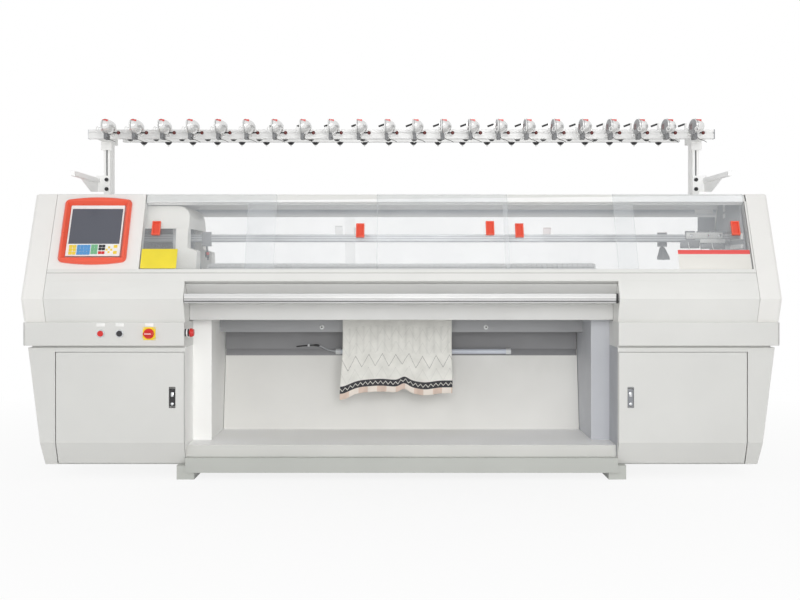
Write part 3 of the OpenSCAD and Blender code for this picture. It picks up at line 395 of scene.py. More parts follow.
FIRST_NEEDLE, LAST_NEEDLE, NEEDLE_PITCH = -0.94, 0.9401, 0.005
needle_x = np.arange(FIRST_NEEDLE, LAST_NEEDLE, NEEDLE_PITCH)[:, None, None, None] * np.array(RIGHT)
NEEDLE = [(-0.0065, -0.0015), (-0.006, 0.001), (-0.003, 0.0012), (0.0, 0.0004), (0.034, 0.0004),
          (0.034, -0.0018)]
BUTT = [(0.0225, -0.001), (0.0225, 0.0022), (0.0265, 0.0022), (0.0265, -0.001)]
for where, sign, body in (("front", -1, "machine"), ("rear", 1, "racking_bed")):
    for name, form, half, material in (("needles", NEEDLE, 0.0005, needle_steel),
                                       ("needle_butts", BUTT, 0.0011, butt_steel)):
        along, over = np.array(form).T
        y, z = bed_spot(along, over, sign)
        outline = np.stack([np.zeros(len(form)), y, z], axis=1)[::sign]
        sides = np.array([-half, half])[:, None, None] * np.array(RIGHT) + outline
        skin(f"{where}_{name}", needle_x + sides, material, body)

# Carriage: steel cam boxes and arches that slide along both beds, under a moulded hood with leg covers.
# A dark sheet closes it behind the rails, between the rear legs.
dress(steel, "carriage", edge=0.001)
hood_white = finish("hood_white", (255, 252, 246), 0.4)
dress(hood_white, "carriage_cover", edge=0.004)
carriage_dark = finish("carriage_dark", (34, 33, 36), 0.5, cloud=0.08)
back_sheet = raised([(-1.29, 0.122, 1.085)], RIGHT, UPRIGHT, (0.47, 0.2), 0.003, 0.004)
skin("carriage_back", back_sheet, carriage_dark, "carriage")


# Yarn feeders: moulded slides with a thin arm, running on four drawn rails with fine grooves; the left one
# has a clamp with a red knob, the right one a flared foot. Four more are parked at the right end, hollow
# slides with a bent arm and an eye, with screwed plates in front of them.
def height_bands(material):
    """Opens a finish for bands by height: its node tree, its shader, its colour and the height in metres."""
    tree = material.node_tree
    shader = tree.nodes["Principled BSDF"]
    split = tree.nodes.new("ShaderNodeSeparateXYZ")
    tree.links.new(tree.nodes.new("ShaderNodeTexCoord").outputs["Object"], split.inputs[0])
    return tree, shader, shader.inputs["Base Color"].links[0].from_socket, split.outputs["Z"]


def calc(tree, operation, *values):
    """One step of arithmetic between numbers and sockets."""
    step = tree.nodes.new("ShaderNodeMath")
    step.operation = operation
    for socket, value in zip(step.inputs, values):
        if isinstance(value, (int, float)):
            socket.default_value = value
        else:
            tree.links.new(value, socket)
    return step.outputs[0]


rail_steel = finish("rail_steel", (196, 198, 200), 0.35, metal=0.3, cloud=0.05)
tree, shader, shade, level = height_bands(rail_steel)
# The rails' grooves are dark stripes by height: painted shade in the grooves.
GROOVE_LOW, GROOVE_PITCH, RED_TOP_Z = 1.0935, 0.012, 1.12
groove_shade = calc(tree, "FRACT", calc(tree, "DIVIDE", calc(tree, "SUBTRACT", level, GROOVE_LOW), GROOVE_PITCH))
groove_shade = calc(tree, "MULTIPLY", calc(tree, "LESS_THAN", groove_shade, 0.3), 0.75)
tree.links.new(blend_colour(tree, groove_shade, shade, tint(120, 123, 130)), shader.inputs["Base Color"])
dress(rail_steel, "feeder_rails", edge=0.001)
feeder_grey = finish("feeder_grey", (146, 147, 150), 0.4, metal=0.3)
dress(feeder_grey, "yarn_feeder_left", "yarn_feeder_right", edge=0.001)
for name in ("yarn_feeder_left", "yarn_feeder_right"):
    middle, normal = faces_of(name)
    paint(name, signal_red, (middle[2] > RED_TOP_Z) & (normal[2] > 0.5))
clamp = raised([(-0.948, -0.026, 1.03)], RIGHT, UPRIGHT, (0.02, 0.028), 0.008, 0.003)
skin("feeder_clamp", clamp, bolt_black, "feeder_left")
KNOB = [(0.0065, 0), (0.0075, 0.002), (0.0075, 0.007), (0.005, 0.0085)]
skin("feeder_knob", turned([(-0.944, -0.034, 1.035)], FRONT, KNOB, 14), signal_red, "feeder_left")
FOOT_UP = np.array((0.0, 0.034, 0.068)) / math.hypot(0.034, 0.068)
FOOT = np.array([(-0.031, 0.0), (0.031, 0.0), (0.031, 0.012), (0.012, 0.068), (-0.012, 0.068),
                 (-0.031, 0.012)])
foot_face = FOOT[:, :1] * np.array(RIGHT) + FOOT[:, 1:] * FOOT_UP + np.array((1.29, 0.0075, 1.006))
foot_out = np.array([-0.0012, 0.0012])[:, None, None] * np.cross(RIGHT, FOOT_UP)
skin("feeder_foot", (foot_face + foot_out)[None], feeder_grey, "feeder_right")
PARKED = np.array([(1.385, -0.04, 1.11), (1.448, -0.014, 1.11), (1.5, -0.04, 1.11), (1.555, 0.014, 1.11)])
BACK = (0.0, 1.0, 0.0)
slides = rim(PARKED, BACK, UPRIGHT, (0.022, 0.07), (0.0086, 0.0366), 0.044)
skin("parked_slides", slides, feeder_grey, "machine", loop=True)
slide_plate = finish("slide_plate", (226, 226, 224), 0.35, metal=0.1, cloud=0.06)
PLATE_Y, PLATE_Z = -0.0505, 1.1225
PLATES = [(1.474, PLATE_Y, PLATE_Z), (1.514, PLATE_Y, 1.096)]
plates = raised(PLATES, RIGHT, UPRIGHT, [(0.178, 0.03), (0.122, 0.019)], 0.004, 0.003)
skin("parked_plates", plates, slide_plate, "machine")
LOW_PLATES = [(1.403, PLATE_Y, 1.08), (1.516, PLATE_Y, 1.071)]
plates = raised(LOW_PLATES, RIGHT, UPRIGHT, [(0.094, 0.04), (0.118, 0.026)], 0.003, 0.004)
skin("parked_low_plates", plates, feeder_grey, "machine")
PLATE_SCREWS = [(x, -0.0545, PLATE_Z) for x in (1.412, 1.494, 1.548)]
PLATE_SCREW = [(0.007, 0), (0.007, 0.002), (0.0055, 0.0032), (0.002, 0.0034)]
skin("plate_screws", turned(PLATE_SCREWS, FRONT, PLATE_SCREW, 14), chrome, "machine")
BEND = [(0.01, -0.012, -0.02), (0.014, -0.013, -0.045), (0.026, -0.015, -0.075), (0.03, -0.018, -0.1)]
bent = tube(PARKED[:, None] + eased(BEND, 12, 0.3), 0.0022, 6, RIGHT)
skin("parked_arms", bent, needle_steel, "machine")
EYE = [(0.0032, -0.003), (0.0052, -0.001), (0.0052, 0.001), (0.0032, 0.003)]
eyes = turned(PARKED + np.array((0.03, -0.018, -0.102)), UPRIGHT, EYE, 12)
skin("parked_eyes", eyes, bolt_black, "machine")

# Take-down rollers under the beds: rubber on steel cores. They turn against each other and pull the
# fabric down.
roller_rubber = finish("roller_rubber", (70, 71, 74), 0.7)
dress(roller_rubber, "front_roller", "rear_roller", edge=0)

# Knitted fabric: one panel of fine openwork that comes down between the rollers, flat as long as they
# hold it and then in soft folds, with a dark border and a rolled edge. It is knitted in one piece.
FABRIC_LEFT, FABRIC_WIDE = -0.288, 0.536
FABRIC_TOP, FABRIC_FREE, FABRIC_HEM = 0.977, 0.70, 0.347
u, v = np.meshgrid(np.linspace(0, 1, 141), np.linspace(0, 1, 181))
hem_z = 0.350 - 0.036 * np.exp(-(u / 0.11) ** 2) + 0.010 * np.exp(-((u - 0.34) / 0.12) ** 2)
hem_z += 0.020 * np.exp(-((u - 0.57) / 0.05) ** 2) - 0.010 * np.exp(-((u - 0.74) / 0.1) ** 2)
height = FABRIC_TOP + (hem_z - FABRIC_TOP) * v
drop = np.clip((FABRIC_FREE - height) / 0.35, 0, 1.2)
fold = np.sin(2 * np.pi * (1.9 * u + 0.12)) + 0.5 * np.sin(2 * np.pi * (4.3 * u + 0.4))
edge_wave = 0.004 * np.sin(2 * np.pi * 10.5 * u) * np.clip((v - 0.94) / 0.06, 0, 1)
depth = 0.016 * drop ** 1.3 * fold + edge_wave
wide = FABRIC_LEFT + FABRIC_WIDE * u - 0.012 * (1 - u) * drop ** 2
wide += 0.004 * drop * np.sin(9 * v) * (2 * u - 1)
rows, cols = u.shape
index = np.arange(rows * cols).reshape(rows, cols)
quads = np.stack([index[:-1, :-1], index[1:, :-1], index[1:, 1:], index[:-1, 1:]], axis=-1).reshape(-1, 4)
mesh = bpy.data.meshes.new("knitted_panel")
mesh.from_pydata(np.stack([wide, depth, height], axis=-1).reshape(-1, 3).tolist(), [], quads.tolist())
mesh.polygons.foreach_set("use_smooth", [True] * len(mesh.polygons))
flat_u, flat_v = u * FABRIC_WIDE, (1 - v) * (FABRIC_TOP - FABRIC_HEM)
layer = mesh.uv_layers.new(name="cloth")
flat = np.stack([flat_u, flat_v], axis=-1).reshape(-1, 2)
layer.data.foreach_set("uv", flat[quads.reshape(-1)].reshape(-1))
knit = bpy.data.materials.new("knit")
knit.use_nodes = True
tree = knit.node_tree
shader = tree.nodes["Principled BSDF"]
chart = tree.nodes.new("ShaderNodeUVMap")
chart.uv_map = "cloth"
split = tree.nodes.new("ShaderNodeSeparateXYZ")
tree.links.new(chart.outputs["UV"], split.inputs[0])
across, along = split.outputs["X"], split.outputs["Y"]


def zigzag(tree, value, pitch):
    """Triangle wave from 0 to 1 over pitch."""
    share = calc(tree, "FRACT", calc(tree, "DIVIDE", value, pitch))
    return calc(tree, "MULTIPLY", calc(tree, "ABSOLUTE", calc(tree, "SUBTRACT", share, 0.5)), 2.0)


def between(tree, value, low, high):
    """1 where value lies from low to high, else 0."""
    above = calc(tree, "GREATER_THAN", value, low)
    return calc(tree, "MULTIPLY", above, calc(tree, "LESS_THAN", value, high))


LACE_PITCH, LACE_LOW, LACE_HIGH = 0.0655, 0.068, 0.33
BORDER_LOW, BORDER_HIGH = 0.029, 0.063
rise = calc(tree, "MULTIPLY", zigzag(tree, across, LACE_PITCH), 0.06)
lace = calc(tree, "SUBTRACT", calc(tree, "SUBTRACT", along, 0.0305), rise)
lace = calc(tree, "FRACT", calc(tree, "DIVIDE", lace, LACE_PITCH))
line = calc(tree, "LESS_THAN", calc(tree, "ABSOLUTE", calc(tree, "SUBTRACT", lace, 0.5)), 0.038)
dots = calc(tree, "LESS_THAN", calc(tree, "FRACT", calc(tree, "DIVIDE", along, 0.0052)), 0.62)
bold = calc(tree, "ADD", calc(tree, "MULTIPLY", between(tree, along, 0.122, 0.192), 0.65), 0.2)
holes = calc(tree, "MULTIPLY", calc(tree, "MULTIPLY", line, dots), bold)
holes = calc(tree, "MULTIPLY", holes, between(tree, along, LACE_LOW, LACE_HIGH))
cloth_place = chart.outputs["UV"]
mottle = spread(tree, noise(tree, cloth_place, 0.05), 0, 1)
ground = blend_colour(tree, mottle, tint(231, 230, 224), tint(244, 243, 237))
ribs = calc(tree, "MULTIPLY", calc(tree, "POWER", zigzag(tree, across, 0.0345), 3.0), 0.22)
ribs = calc(tree, "MULTIPLY", ribs, between(tree, along, 0.2, LACE_HIGH))
ground = blend_colour(tree, ribs, ground, tint(180, 180, 174))
ground = blend_colour(tree, holes, ground, tint(96, 95, 92))
chevron = calc(tree, "SUBTRACT", along, calc(tree, "MULTIPLY", zigzag(tree, across, 0.024), 0.014))
chevron = between(tree, chevron, 0.0365, 0.041)
border = blend_colour(tree, chevron, tint(58, 58, 62), tint(222, 220, 212))
ground = blend_colour(tree, between(tree, along, BORDER_LOW, BORDER_HIGH), ground, border)
blocks = calc(tree, "GREATER_THAN", calc(tree, "SINE", calc(tree, "MULTIPLY", across, 71.0)), 0.0)
edge_colour = blend_colour(tree, blocks, tint(240, 230, 220), tint(226, 204, 190))
ground = blend_colour(tree, calc(tree, "LESS_THAN", along, BORDER_LOW), ground, edge_colour)
tree.links.new(ground, shader.inputs["Base Color"])
shader.inputs["Roughness"].default_value = 0.9
shader.inputs["Sheen Weight"].default_value = 0.25
courses = calc(tree, "MULTIPLY", zigzag(tree, along, 0.0026), 0.6)
stitch = calc(tree, "ADD", zigzag(tree, across, 0.0032), courses)
stitch = calc(tree, "SUBTRACT", stitch, holes)
roughen(tree, shader, stitch, 0.5, 0.0008)
mesh.materials.append(knit)
fabric = bpy.data.objects.new("knitted_panel", mesh)
bpy.context.scene.collection.objects.link(fabric)
wall = fabric.modifiers.new("thickness", "SOLIDIFY")
wall.thickness = 0.002
wall.offset = 0.0
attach(fabric, "machine")
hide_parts("knitted_fabric")

# Upper housing: moulded end covers, folded fascias, display panel, door track, roof with combs and rear
# panel, sprayed white. The skirt behind the doors is painted blue-grey as painted shade, paling to white
# towards its foot as painted light, and the right end wall carries white covers and a toothed rack.
LEAN = math.atan2(0.222, 0.487)
SLOPE_UP = (0.0, math.sin(LEAN), math.cos(LEAN))
SLOPE_OUT = (0.0, -math.cos(LEAN), math.sin(LEAN))
FOLD_Y, FOLD_Z = -0.45, 0.825


def slope_spot(x, up, out=0.0):
    """Point of the sloped front: x along the machine, up from the fold, out of the sheet."""
    return np.array([x, FOLD_Y, FOLD_Z]) + up * np.array(SLOPE_UP) + out * np.array(SLOPE_OUT)


def behind_slope(middle):
    """How far face middles lie behind the sloped front, square to it."""
    return (middle[1] - FOLD_Y) * math.cos(LEAN) - (middle[2] - FOLD_Z) * math.sin(LEAN)


panel_white = finish("panel_white", (231, 231, 228), 0.42)
cover_white = finish("cover_white", (240, 239, 236), 0.42)
dress(cover_white, "left_end_cover", "right_end_cover", "display_panel", edge=0.0012)
dress(panel_white, "left_fascia", "right_fascia", edge=0.0012)
dress(panel_white, "door_track", "top_beam", "rear_panel", edge=0.001)
# Top-beam faces that point down or lie below 1.29 m are painted a brighter white, as painted light.
roof_painted_light = finish("roof_painted_light", (255, 255, 253), 0.5)
middle, normal = faces_of("top_beam")
paint("top_beam", roof_painted_light, (normal[2] < -0.3) | (middle[2] < 1.29))
# Skirt faces: blue-grey painted shade, blending to white below 1.254 m as painted light.
skirt_painted_shade = finish("skirt_painted_shade", (172, 176, 185), 0.4, cloud=0.12, cloud_size=0.25)
tree, shader, shade, level = height_bands(skirt_painted_shade)
skirt_painted_glow = calc(tree, "DIVIDE", calc(tree, "SUBTRACT", 1.254, level), 0.024)
skirt_painted_glow = calc(tree, "MAXIMUM", calc(tree, "MINIMUM", skirt_painted_glow, 1.0), 0.0)
tree.links.new(blend_colour(tree, skirt_painted_glow, shade, tint(255, 255, 255)), shader.inputs["Base Color"])
SKIRT_Y, SKIRT_LOW, SKIRT_HIGH = 0.2065, 1.22, 1.27
in_skirt = (middle[2] < SKIRT_HIGH) & (middle[2] > SKIRT_LOW)
paint("top_beam", skirt_painted_shade, (abs(middle[1] - SKIRT_Y) < 0.002) & in_skirt)
middle, normal = faces_of("door_track")
# The right jamb's inward face above the sill, and the faces just behind the slope below it, are painted grey
# as painted shade.
jamb_painted_shade = finish("jamb_painted_shade", (194, 193, 190), 0.5)
SILL_Z = 0.97
paint("door_track", jamb_painted_shade, (normal[0] < -0.9) & (middle[0] > END_WALL_X) & (middle[2] > SILL_Z))
inward = behind_slope(middle)
paint("door_track", jamb_painted_shade, (inward > 0.0002) & (inward < 0.0022) & (middle[2] < SILL_Z))
# A blue-grey sheet at the back of the rear right corner, inside the housing, is painted shade.
corner_painted_shade = finish("corner_painted_shade", (168, 170, 176), 0.4, cloud=0.12, cloud_size=0.25)
corner_shade_sheet = raised([(1.56, 0.228, 1.155)], RIGHT, UPRIGHT, (0.088, 0.14), 0.002, 0.004)
skin("rear_corner_shade_sheet", corner_shade_sheet, corner_painted_shade, "machine")
bare_plate = raised([(1.542, SKIRT_Y, 1.254)], RIGHT, UPRIGHT, (0.094, 0.026), 0.002, 0.003)
skin("skirt_plate", bare_plate, plate_white, "machine")
comb_cap = raised([slope_spot(1.6122, 0.516, -0.0125)], RIGHT, SLOPE_UP, (0.0082, 0.034), 0.002, 0.001)
skin("comb_end", comb_cap, panel_white, "machine")
SEAMS = [(x, 0.3995, 0.41) for x in (-0.9785, 0.9785)]
strips = raised(SEAMS, (-1.0, 0.0, 0.0), UPRIGHT, (0.0125, 0.6), 0.002, 0.001)
skin("rear_seam_strips", strips, panel_white, "machine")
WALL_X, RACK_Y, RACK_Z = 1.606, -0.155, 1.112
RACKS = [(WALL_X, RACK_Y, RACK_Z), (WALL_X, RACK_Y, 1.066)]
racks = raised(RACKS, FRONT, UPRIGHT, [(0.17, 0.03), (0.17, 0.02)], 0.012, 0.003)
skin("wall_racks", racks, plate_white, "machine")
TOOTH_ROW = np.linspace(-0.079, 0.079, 17)
teeth = TOOTH_ROW[:, None] * np.array(BACK) + np.array((1.594, RACK_Y, RACK_Z))
skin("rack_teeth", raised(teeth, FRONT, UPRIGHT, (0.005, 0.022), 0.003, 0.001), feeder_grey, "machine")
SLOTS = [(WALL_X, 0.072, 1.272), (WALL_X, 0.072, 1.223)]
covers = raised(SLOTS, FRONT, UPRIGHT, [(0.034, 0.054), (0.034, 0.024)], 0.0015, 0.006)
skin("wall_covers", covers, plate_white, "machine")

# Apron and operating rod: a recessed sheet behind a grooved aluminium bar that turns on two journals,
# with a black sleeve at its right end. The grey and dark bands along the bar are painted shade.
# The recessed apron is painted a darker white than the panels, as painted shade under the overhang.
apron_painted_shade = finish("apron_painted_shade", (216, 216, 214), 0.5)
dress(apron_painted_shade, "front_apron", edge=0.001)
bare_aluminium = finish("bare_aluminium", (228, 228, 227), 0.4, metal=0.1, peel=0.05)
tree, shader, shade, level = height_bands(bare_aluminium)
# Grey and dark grey bands by height along the bar: painted shade.
for low, high, grey in ((0.837, 0.85, 212), (0.8213, 0.828, 184), (0.811, 0.8172, 92), (0.8, 0.811, 184)):
    shade = blend_colour(tree, between(tree, level, low, high), shade, tint(grey, grey, grey))
tree.links.new(shade, shader.inputs["Base Color"])
dress(bare_aluminium, "operating_rod", edge=0.001)
ROD_END = (0.97, -0.423, 0.827)
sleeve_wall = raised([ROD_END], BACK, UPRIGHT, (0.0366, 0.0446), 0.011, 0.004, 0.0008)
skin("rod_sleeve", sleeve_wall, bolt_black, "rod")

# Display: a moulded orange-red bezel, a white surround, the dark glass and a foil keypad with raised
# keys in groups of one colour.
orange_red = finish("orange_red", (244, 98, 72), 0.32, peel=0.05)
dress(orange_red, "display_bezel", edge=0.002)
screen_dark = finish("screen_dark", (88, 91, 101), 0.2, peel=0.0)
dress(screen_dark, "display_screen", edge=0)
keypad_grey = finish("keypad_grey", (168, 166, 158), 0.45)
dress(keypad_grey, "keypad", edge=0.0005)
SHOWN_X, SHOWN_S, KEYS_S = -1.417, 0.3416, 0.2426
surround = rim([slope_spot(SHOWN_X, SHOWN_S, 0.003)], RIGHT, SLOPE_UP, (0.249, 0.261), (0.236, 0.182), 0.0022,
               0.004, (0.0, 0.0225))
skin("screen_surround", surround, plate_white, "machine", loop=True)
key_yellow = finish("key_yellow", (244, 214, 70), 0.4, peel=0.03)
key_blue = finish("key_blue", (92, 158, 216), 0.4, peel=0.03)
key_green = finish("key_green", (122, 188, 142), 0.4, peel=0.03)
KEY_GROUPS = (
    ("yellow_keys", key_yellow, [(x, s) for x in (-103.5, -86) for s in (-17, 0, 17)], (16, 15.5)),
    ("blue_keys", key_blue, [(x, s) for x in (-67, -51.5, -36, -20.5) for s in (-17, 0, 17)], (15, 16.5)),
    ("green_keys", key_green, [(x, s) for x in (-2.5, 13) for s in (-14, 2.5, 19)], (15, 16)),
    ("black_keys", button_black, [(x, s) for x in (32, 47.5) for s in (4, 19)], (14.5, 13.5)),
    ("red_keys", signal_red, [(x, -14.5) for x in (32, 47.5)], (14.5, 14)),
    ("arrow_keys", key_yellow, [(73, 12), (73, -12), (62.5, 0), (83.5, 0)], (9.5, 10)),
    ("side_keys", key_yellow, [(102, 17), (102, -13.5)], (17, 15)),
)
for name, material, spots, size in KEY_GROUPS:
    places = [slope_spot(SHOWN_X + x / 1000, KEYS_S + s / 1000, 0.005) for x, s in spots]
    keys = raised(places, RIGHT, SLOPE_UP, (size[0] / 1000, size[1] / 1000), 0.0016, 0.002)
    skin(name, keys, material, "machine")


# Sliding doors: clear acrylic sheet with polished edges that catch the light, a cup pull glued on, and
# plain vinyl fields on the first and the last.
def clear_sheet(name, colour, low, high):
    """Clear sheet: a smooth surface that hides the share low to high of what lies behind, by a wide noise."""
    material = bpy.data.materials.new(name)
    material.use_nodes = True
    tree = material.node_tree
    shader = tree.nodes["Principled BSDF"]
    place = tree.nodes.new("ShaderNodeTexCoord").outputs["Object"]
    shader.inputs["Base Color"].default_value = tint(*colour)
    shader.inputs["Roughness"].default_value = 0.1
    tree.links.new(spread(tree, noise(tree, place, 0.25), low, high), shader.inputs["Alpha"])
    return material


front_names = [f"sliding_door_{i}" for i in range(1, 6)]
rear_names = ["rear_door_left", "rear_door_right"]
dress(clear_sheet("clear_acrylic", (240, 244, 247), 0.11, 0.17), *front_names, edge=0)
dress(clear_sheet("rear_acrylic", (246, 249, 251), 0.04, 0.08), *rear_names, edge=0)
acrylic_edge = finish("acrylic_edge", (238, 243, 245), 0.2, peel=0.0)
for name in front_names + rear_names:
    middle, normal = faces_of(name)
    paint(name, acrylic_edge, (abs(normal[0]) > 0.9) & (abs(middle[0] - np.median(middle[0])) > 0.25))
pull_pale = clear_sheet("pull_pale", (226, 222, 218), 0.25, 0.35)
pull_pink = clear_sheet("pull_pink", (236, 150, 146), 0.3, 0.4)
PULL_HALF, SECOND_TRACK = 0.021, -0.029
REAR_PULLS = (
    ("rear_door_left", -0.323, pull_pale),
    ("rear_door_right", -0.225, pull_pale),
    ("rear_door_right", 0.752, pull_pink),
)
for name, spot, material in REAR_PULLS:
    middle, normal = faces_of(name)
    out = (middle[1] + FOLD_Y) * math.cos(LEAN) + (middle[2] - FOLD_Z) * math.sin(LEAN)
    door_face = 0.0 if name == "rear_door_left" else SECOND_TRACK
    paint(name, material, (abs(middle[0] - spot) < PULL_HALF) & (out > door_face - 0.0045))
# The floor of each door pull's recess is painted a darker red as painted shade.
pull_recess_shade = finish("pull_recess_shade", (230, 82, 58), 0.4, peel=0.04)
TRACK_GAP = 0.024
for i, track in enumerate((0, 1, 0, 1, 0), start=1):
    dress(orange_red, f"door_pull_{i}", edge=0.002)
    middle, normal = faces_of(f"door_pull_{i}")
    paint(f"door_pull_{i}", pull_recess_shade, abs(behind_slope(middle) - (0.001 + TRACK_GAP * track)) < 0.0005)
field_yellow = finish("field_yellow", (245, 224, 58), 0.35, cloud=0.05, cloud_size=0.1, peel=0.04)
field_red = finish("field_red", (236, 88, 84), 0.35, peel=0.04)
field_white = finish("field_white", (236, 234, 228), 0.35, peel=0.04)
FIELDS = (
    ("yellow_field", field_yellow, "front_door_1", (-1.1125, 0.2025, -0.005), (0.165, 0.099), 0.0004, 0.003),
    ("white_field", field_white, "front_door_5", (1.4365, 0.1985, -0.005), (0.331, 0.097), 0.0004, 0.003),
    ("red_field", field_red, "front_door_5", (1.4365, 0.236, -0.0046), (0.331, 0.021), 0.0003, 0.002),
)
for name, material, body, spot, size, thick, corner in FIELDS:
    field = raised([slope_spot(*spot)], RIGHT, SLOPE_UP, size, thick, corner, 0.0001)
    skin(name, field, material, body)

# Yarn stand: aluminium posts with clamped arms, three cross rails, black guide bowls with ceramic tips
# and bracket arms held by two black bolts each.
post_white = finish("post_white", (255, 255, 253), 0.4)
dress(post_white, "yarn_posts", edge=0.001)
# The floor of the slot in each post is painted dark grey as painted shade.
slot_and_underside_shade = finish("slot_and_underside_shade", (120, 121, 123), 0.5)
middle, normal = faces_of("yarn_posts")
paint("yarn_posts", slot_and_underside_shade, (abs(middle[1] - 0.006) < 0.0004) & (normal[1] < -0.9))
rail_silver = finish("rail_silver", (238, 238, 237), 0.4, metal=0.1, peel=0.05)
dress(rail_silver, "yarn_rails", edge=0.001)
dress(button_black, "guide_eyelets", edge=0)
ceramic = finish("ceramic", (240, 240, 238), 0.15, peel=0.0)
UNIT_PITCH, FIRST_UNIT = 0.13, -1.365


def from_unit(x):
    """Distance along the machine from the nearest yarn path: x less the first one's, wrapped to half a pitch
    either way."""
    return (x - FIRST_UNIT + UNIT_PITCH / 2) % UNIT_PITCH - UNIT_PITCH / 2


middle, normal = faces_of("guide_eyelets")
BOWL_LOW, BOWL_HIGH, BETWEEN_RAILS = 1.618, 1.632, 0.3
below_bowl = np.where(middle[1] < BETWEEN_RAILS, BOWL_LOW, BOWL_HIGH) - middle[2]
paint("guide_eyelets", ceramic, (below_bowl > 0.0145) & (abs(from_unit(middle[0])) < 0.0045))
BOLT_HEAD = [(0.0095, 0), (0.0095, 0.006), (0.0085, 0.0075), (0.0045, 0.0075), (0.0045, 0.004),
             (0.001, 0.004)]
BOLT_SPOTS = [(x, -0.004, z) for x in (-1.446, 1.446) for z in (1.398, 1.352)]
skin("bracket_bolts", turned(BOLT_SPOTS, FRONT, BOLT_HEAD), bolt_black, "machine")
for name, sign, material in (("rail_caps", 1.0, lock_grey), ("rail_cap_left", -1.0, cap_white)):
    cap = raised([(sign * 1.475, -0.198, 1.5965)], (0.0, sign, 0.0), UPRIGHT, (0.032, 0.045), 0.004, 0.003)
    skin(name, cap, material, "machine")

# Yarn tension units: a long grey plate with three red windows, a bright egg-shaped cover, a red lamp on
# its front, a knob on a stem and a black stick behind the rail. A ceramic ring on a wire takes the yarn.
unit_silver = finish("unit_silver", (236, 236, 235), 0.14, metal=0.35, cloud=0.04, cloud_size=0.05, peel=0.0)
dress(unit_silver, "tension_units", edge=0.0012)
plate_grey = finish("plate_grey", (150, 151, 153), 0.4, metal=0.5)
knob_red = finish("knob_red", (104, 38, 36), 0.25, peel=0.0)
lamp_red = finish("lamp_red", (214, 52, 40), 0.25, peel=0.0)
UNITS, UNIT_Y, UNIT_Z, STICK_Y = 22, -0.298, 1.620, -0.153
KNOB_X, PLATE_X = 0.0345, -0.0138
unit_x = (np.arange(UNITS) - 10.5) * UNIT_PITCH
units = np.stack([unit_x, np.full(UNITS, UNIT_Y), np.full(UNITS, UNIT_Z)], axis=1)
middle, normal = faces_of("tension_units")
rel_x = from_unit(middle[0])
rel_y = middle[1] - UNIT_Y
rel_z = middle[2] - UNIT_Z
square = np.abs(normal).max(axis=0) > 0.99
in_lamp = (rel_x > -0.0095) & (rel_x < 0.0145) & (rel_y > -0.0525) & (rel_y < -0.0295)
in_lamp &= (rel_z > 0.0075) & (rel_z < 0.0285)
paint("tension_units", lamp_red, square & in_lamp)
paint("tension_units", knob_red, rel_x > KNOB_X)
stem = np.hypot(rel_y - 0.03, rel_z + 0.024) < 0.0035
paint("tension_units", bolt_black, stem & (rel_x > 0.012) & (rel_x <= KNOB_X))
paint("tension_units", bolt_black, (middle[1] > STICK_Y - 0.0048) & (rel_x < -0.0142))
paint("tension_units", plate_grey, (rel_x < PLATE_X) & (normal[0] < -0.9) & (rel_y < 0.08))
# Faces under the unit's body are painted dark grey as painted shade.
paint("tension_units", slot_and_underside_shade, (rel_z < -0.036) & (rel_y < 0.031) & (rel_y > -0.021))
EGG_WIDE, EGG_LONG, EGG_HIGH = 0.046, 0.0712, 0.0342
along = np.linspace(0.02, np.pi - 0.02, 17)[:, None]
round_way = np.linspace(-np.pi / 2, np.pi / 2, 13)[None]
reach = np.sin(along) ** 0.85
across = -0.0075 + EGG_WIDE * reach * np.cos(round_way)
length = np.broadcast_to(-EGG_LONG * np.cos(along), across.shape)
egg = np.stack([across, length, EGG_HIGH * reach * np.sin(round_way)], axis=-1)
skin("egg_covers", units[:, None, None] + egg, unit_silver, "machine")
windows = [(x - 0.014, UNIT_Y + y, UNIT_Z + 0.004) for x in unit_x for y in (0.01, 0.026, 0.042)]
panes = raised(windows, FRONT, UPRIGHT, (0.009, 0.026), 0.0006, 0.002, 0.0002)
skin("unit_windows", panes, knob_red, "machine")
turn = np.linspace(0, 2 * np.pi, 20, endpoint=False)
ring_side = np.array([0.7, -0.7, 0.0])
circle = np.cos(turn)[:, None] * ring_side + np.sin(turn)[:, None] * np.array(UPRIGHT)
small = np.linspace(0, 2 * np.pi, 6, endpoint=False)[None, :, None]
bead = np.cos(small) * circle[:, None] + np.sin(small) * np.array([0.7, 0.7, 0.0])
ring = 0.0095 * circle[:, None] + 0.0019 * bead + np.array([-0.02, -0.098, -0.022])
skin("ceramic_rings", units[:, None, None] + ring, ceramic, "machine", loop=True)
WIRE = [(-0.012, -0.05, -0.012), (-0.018, -0.066, -0.012), (-0.02, -0.08, -0.016),
        (-0.0155, -0.0925, -0.0205)]
skin("ring_wires", tube(units[:, None] + eased(WIRE, 10, 0.3), 0.0011, 5, RIGHT), chrome, "machine")
ARM = [(0.002, -0.02, -0.05), (0.012, -0.03, -0.062), (0.03, -0.03, -0.066), (0.046, -0.022, -0.074)]
skin("spring_arms", tube(units[:, None] + eased(ARM, 10, 0.3), 0.0013, 5), bolt_black, "machine")
# A dark grey ring round the foot of each egg cover: painted shade under the dome.
dome_shade_line = np.stack([np.full(20, -0.0066), 0.0728 * np.cos(turn), 0.0352 * np.sin(turn)], axis=1)
ring_out = np.stack([np.zeros(20), np.cos(turn), np.sin(turn)], axis=1)
band = dome_shade_line[:, None] + 0.0015 * (np.cos(small) * ring_out[:, None] + np.sin(small) * np.array(RIGHT))
skin("dome_shade_rings", units[:, None, None] + band[:, ::-1], plate_grey, "machine", loop=True)

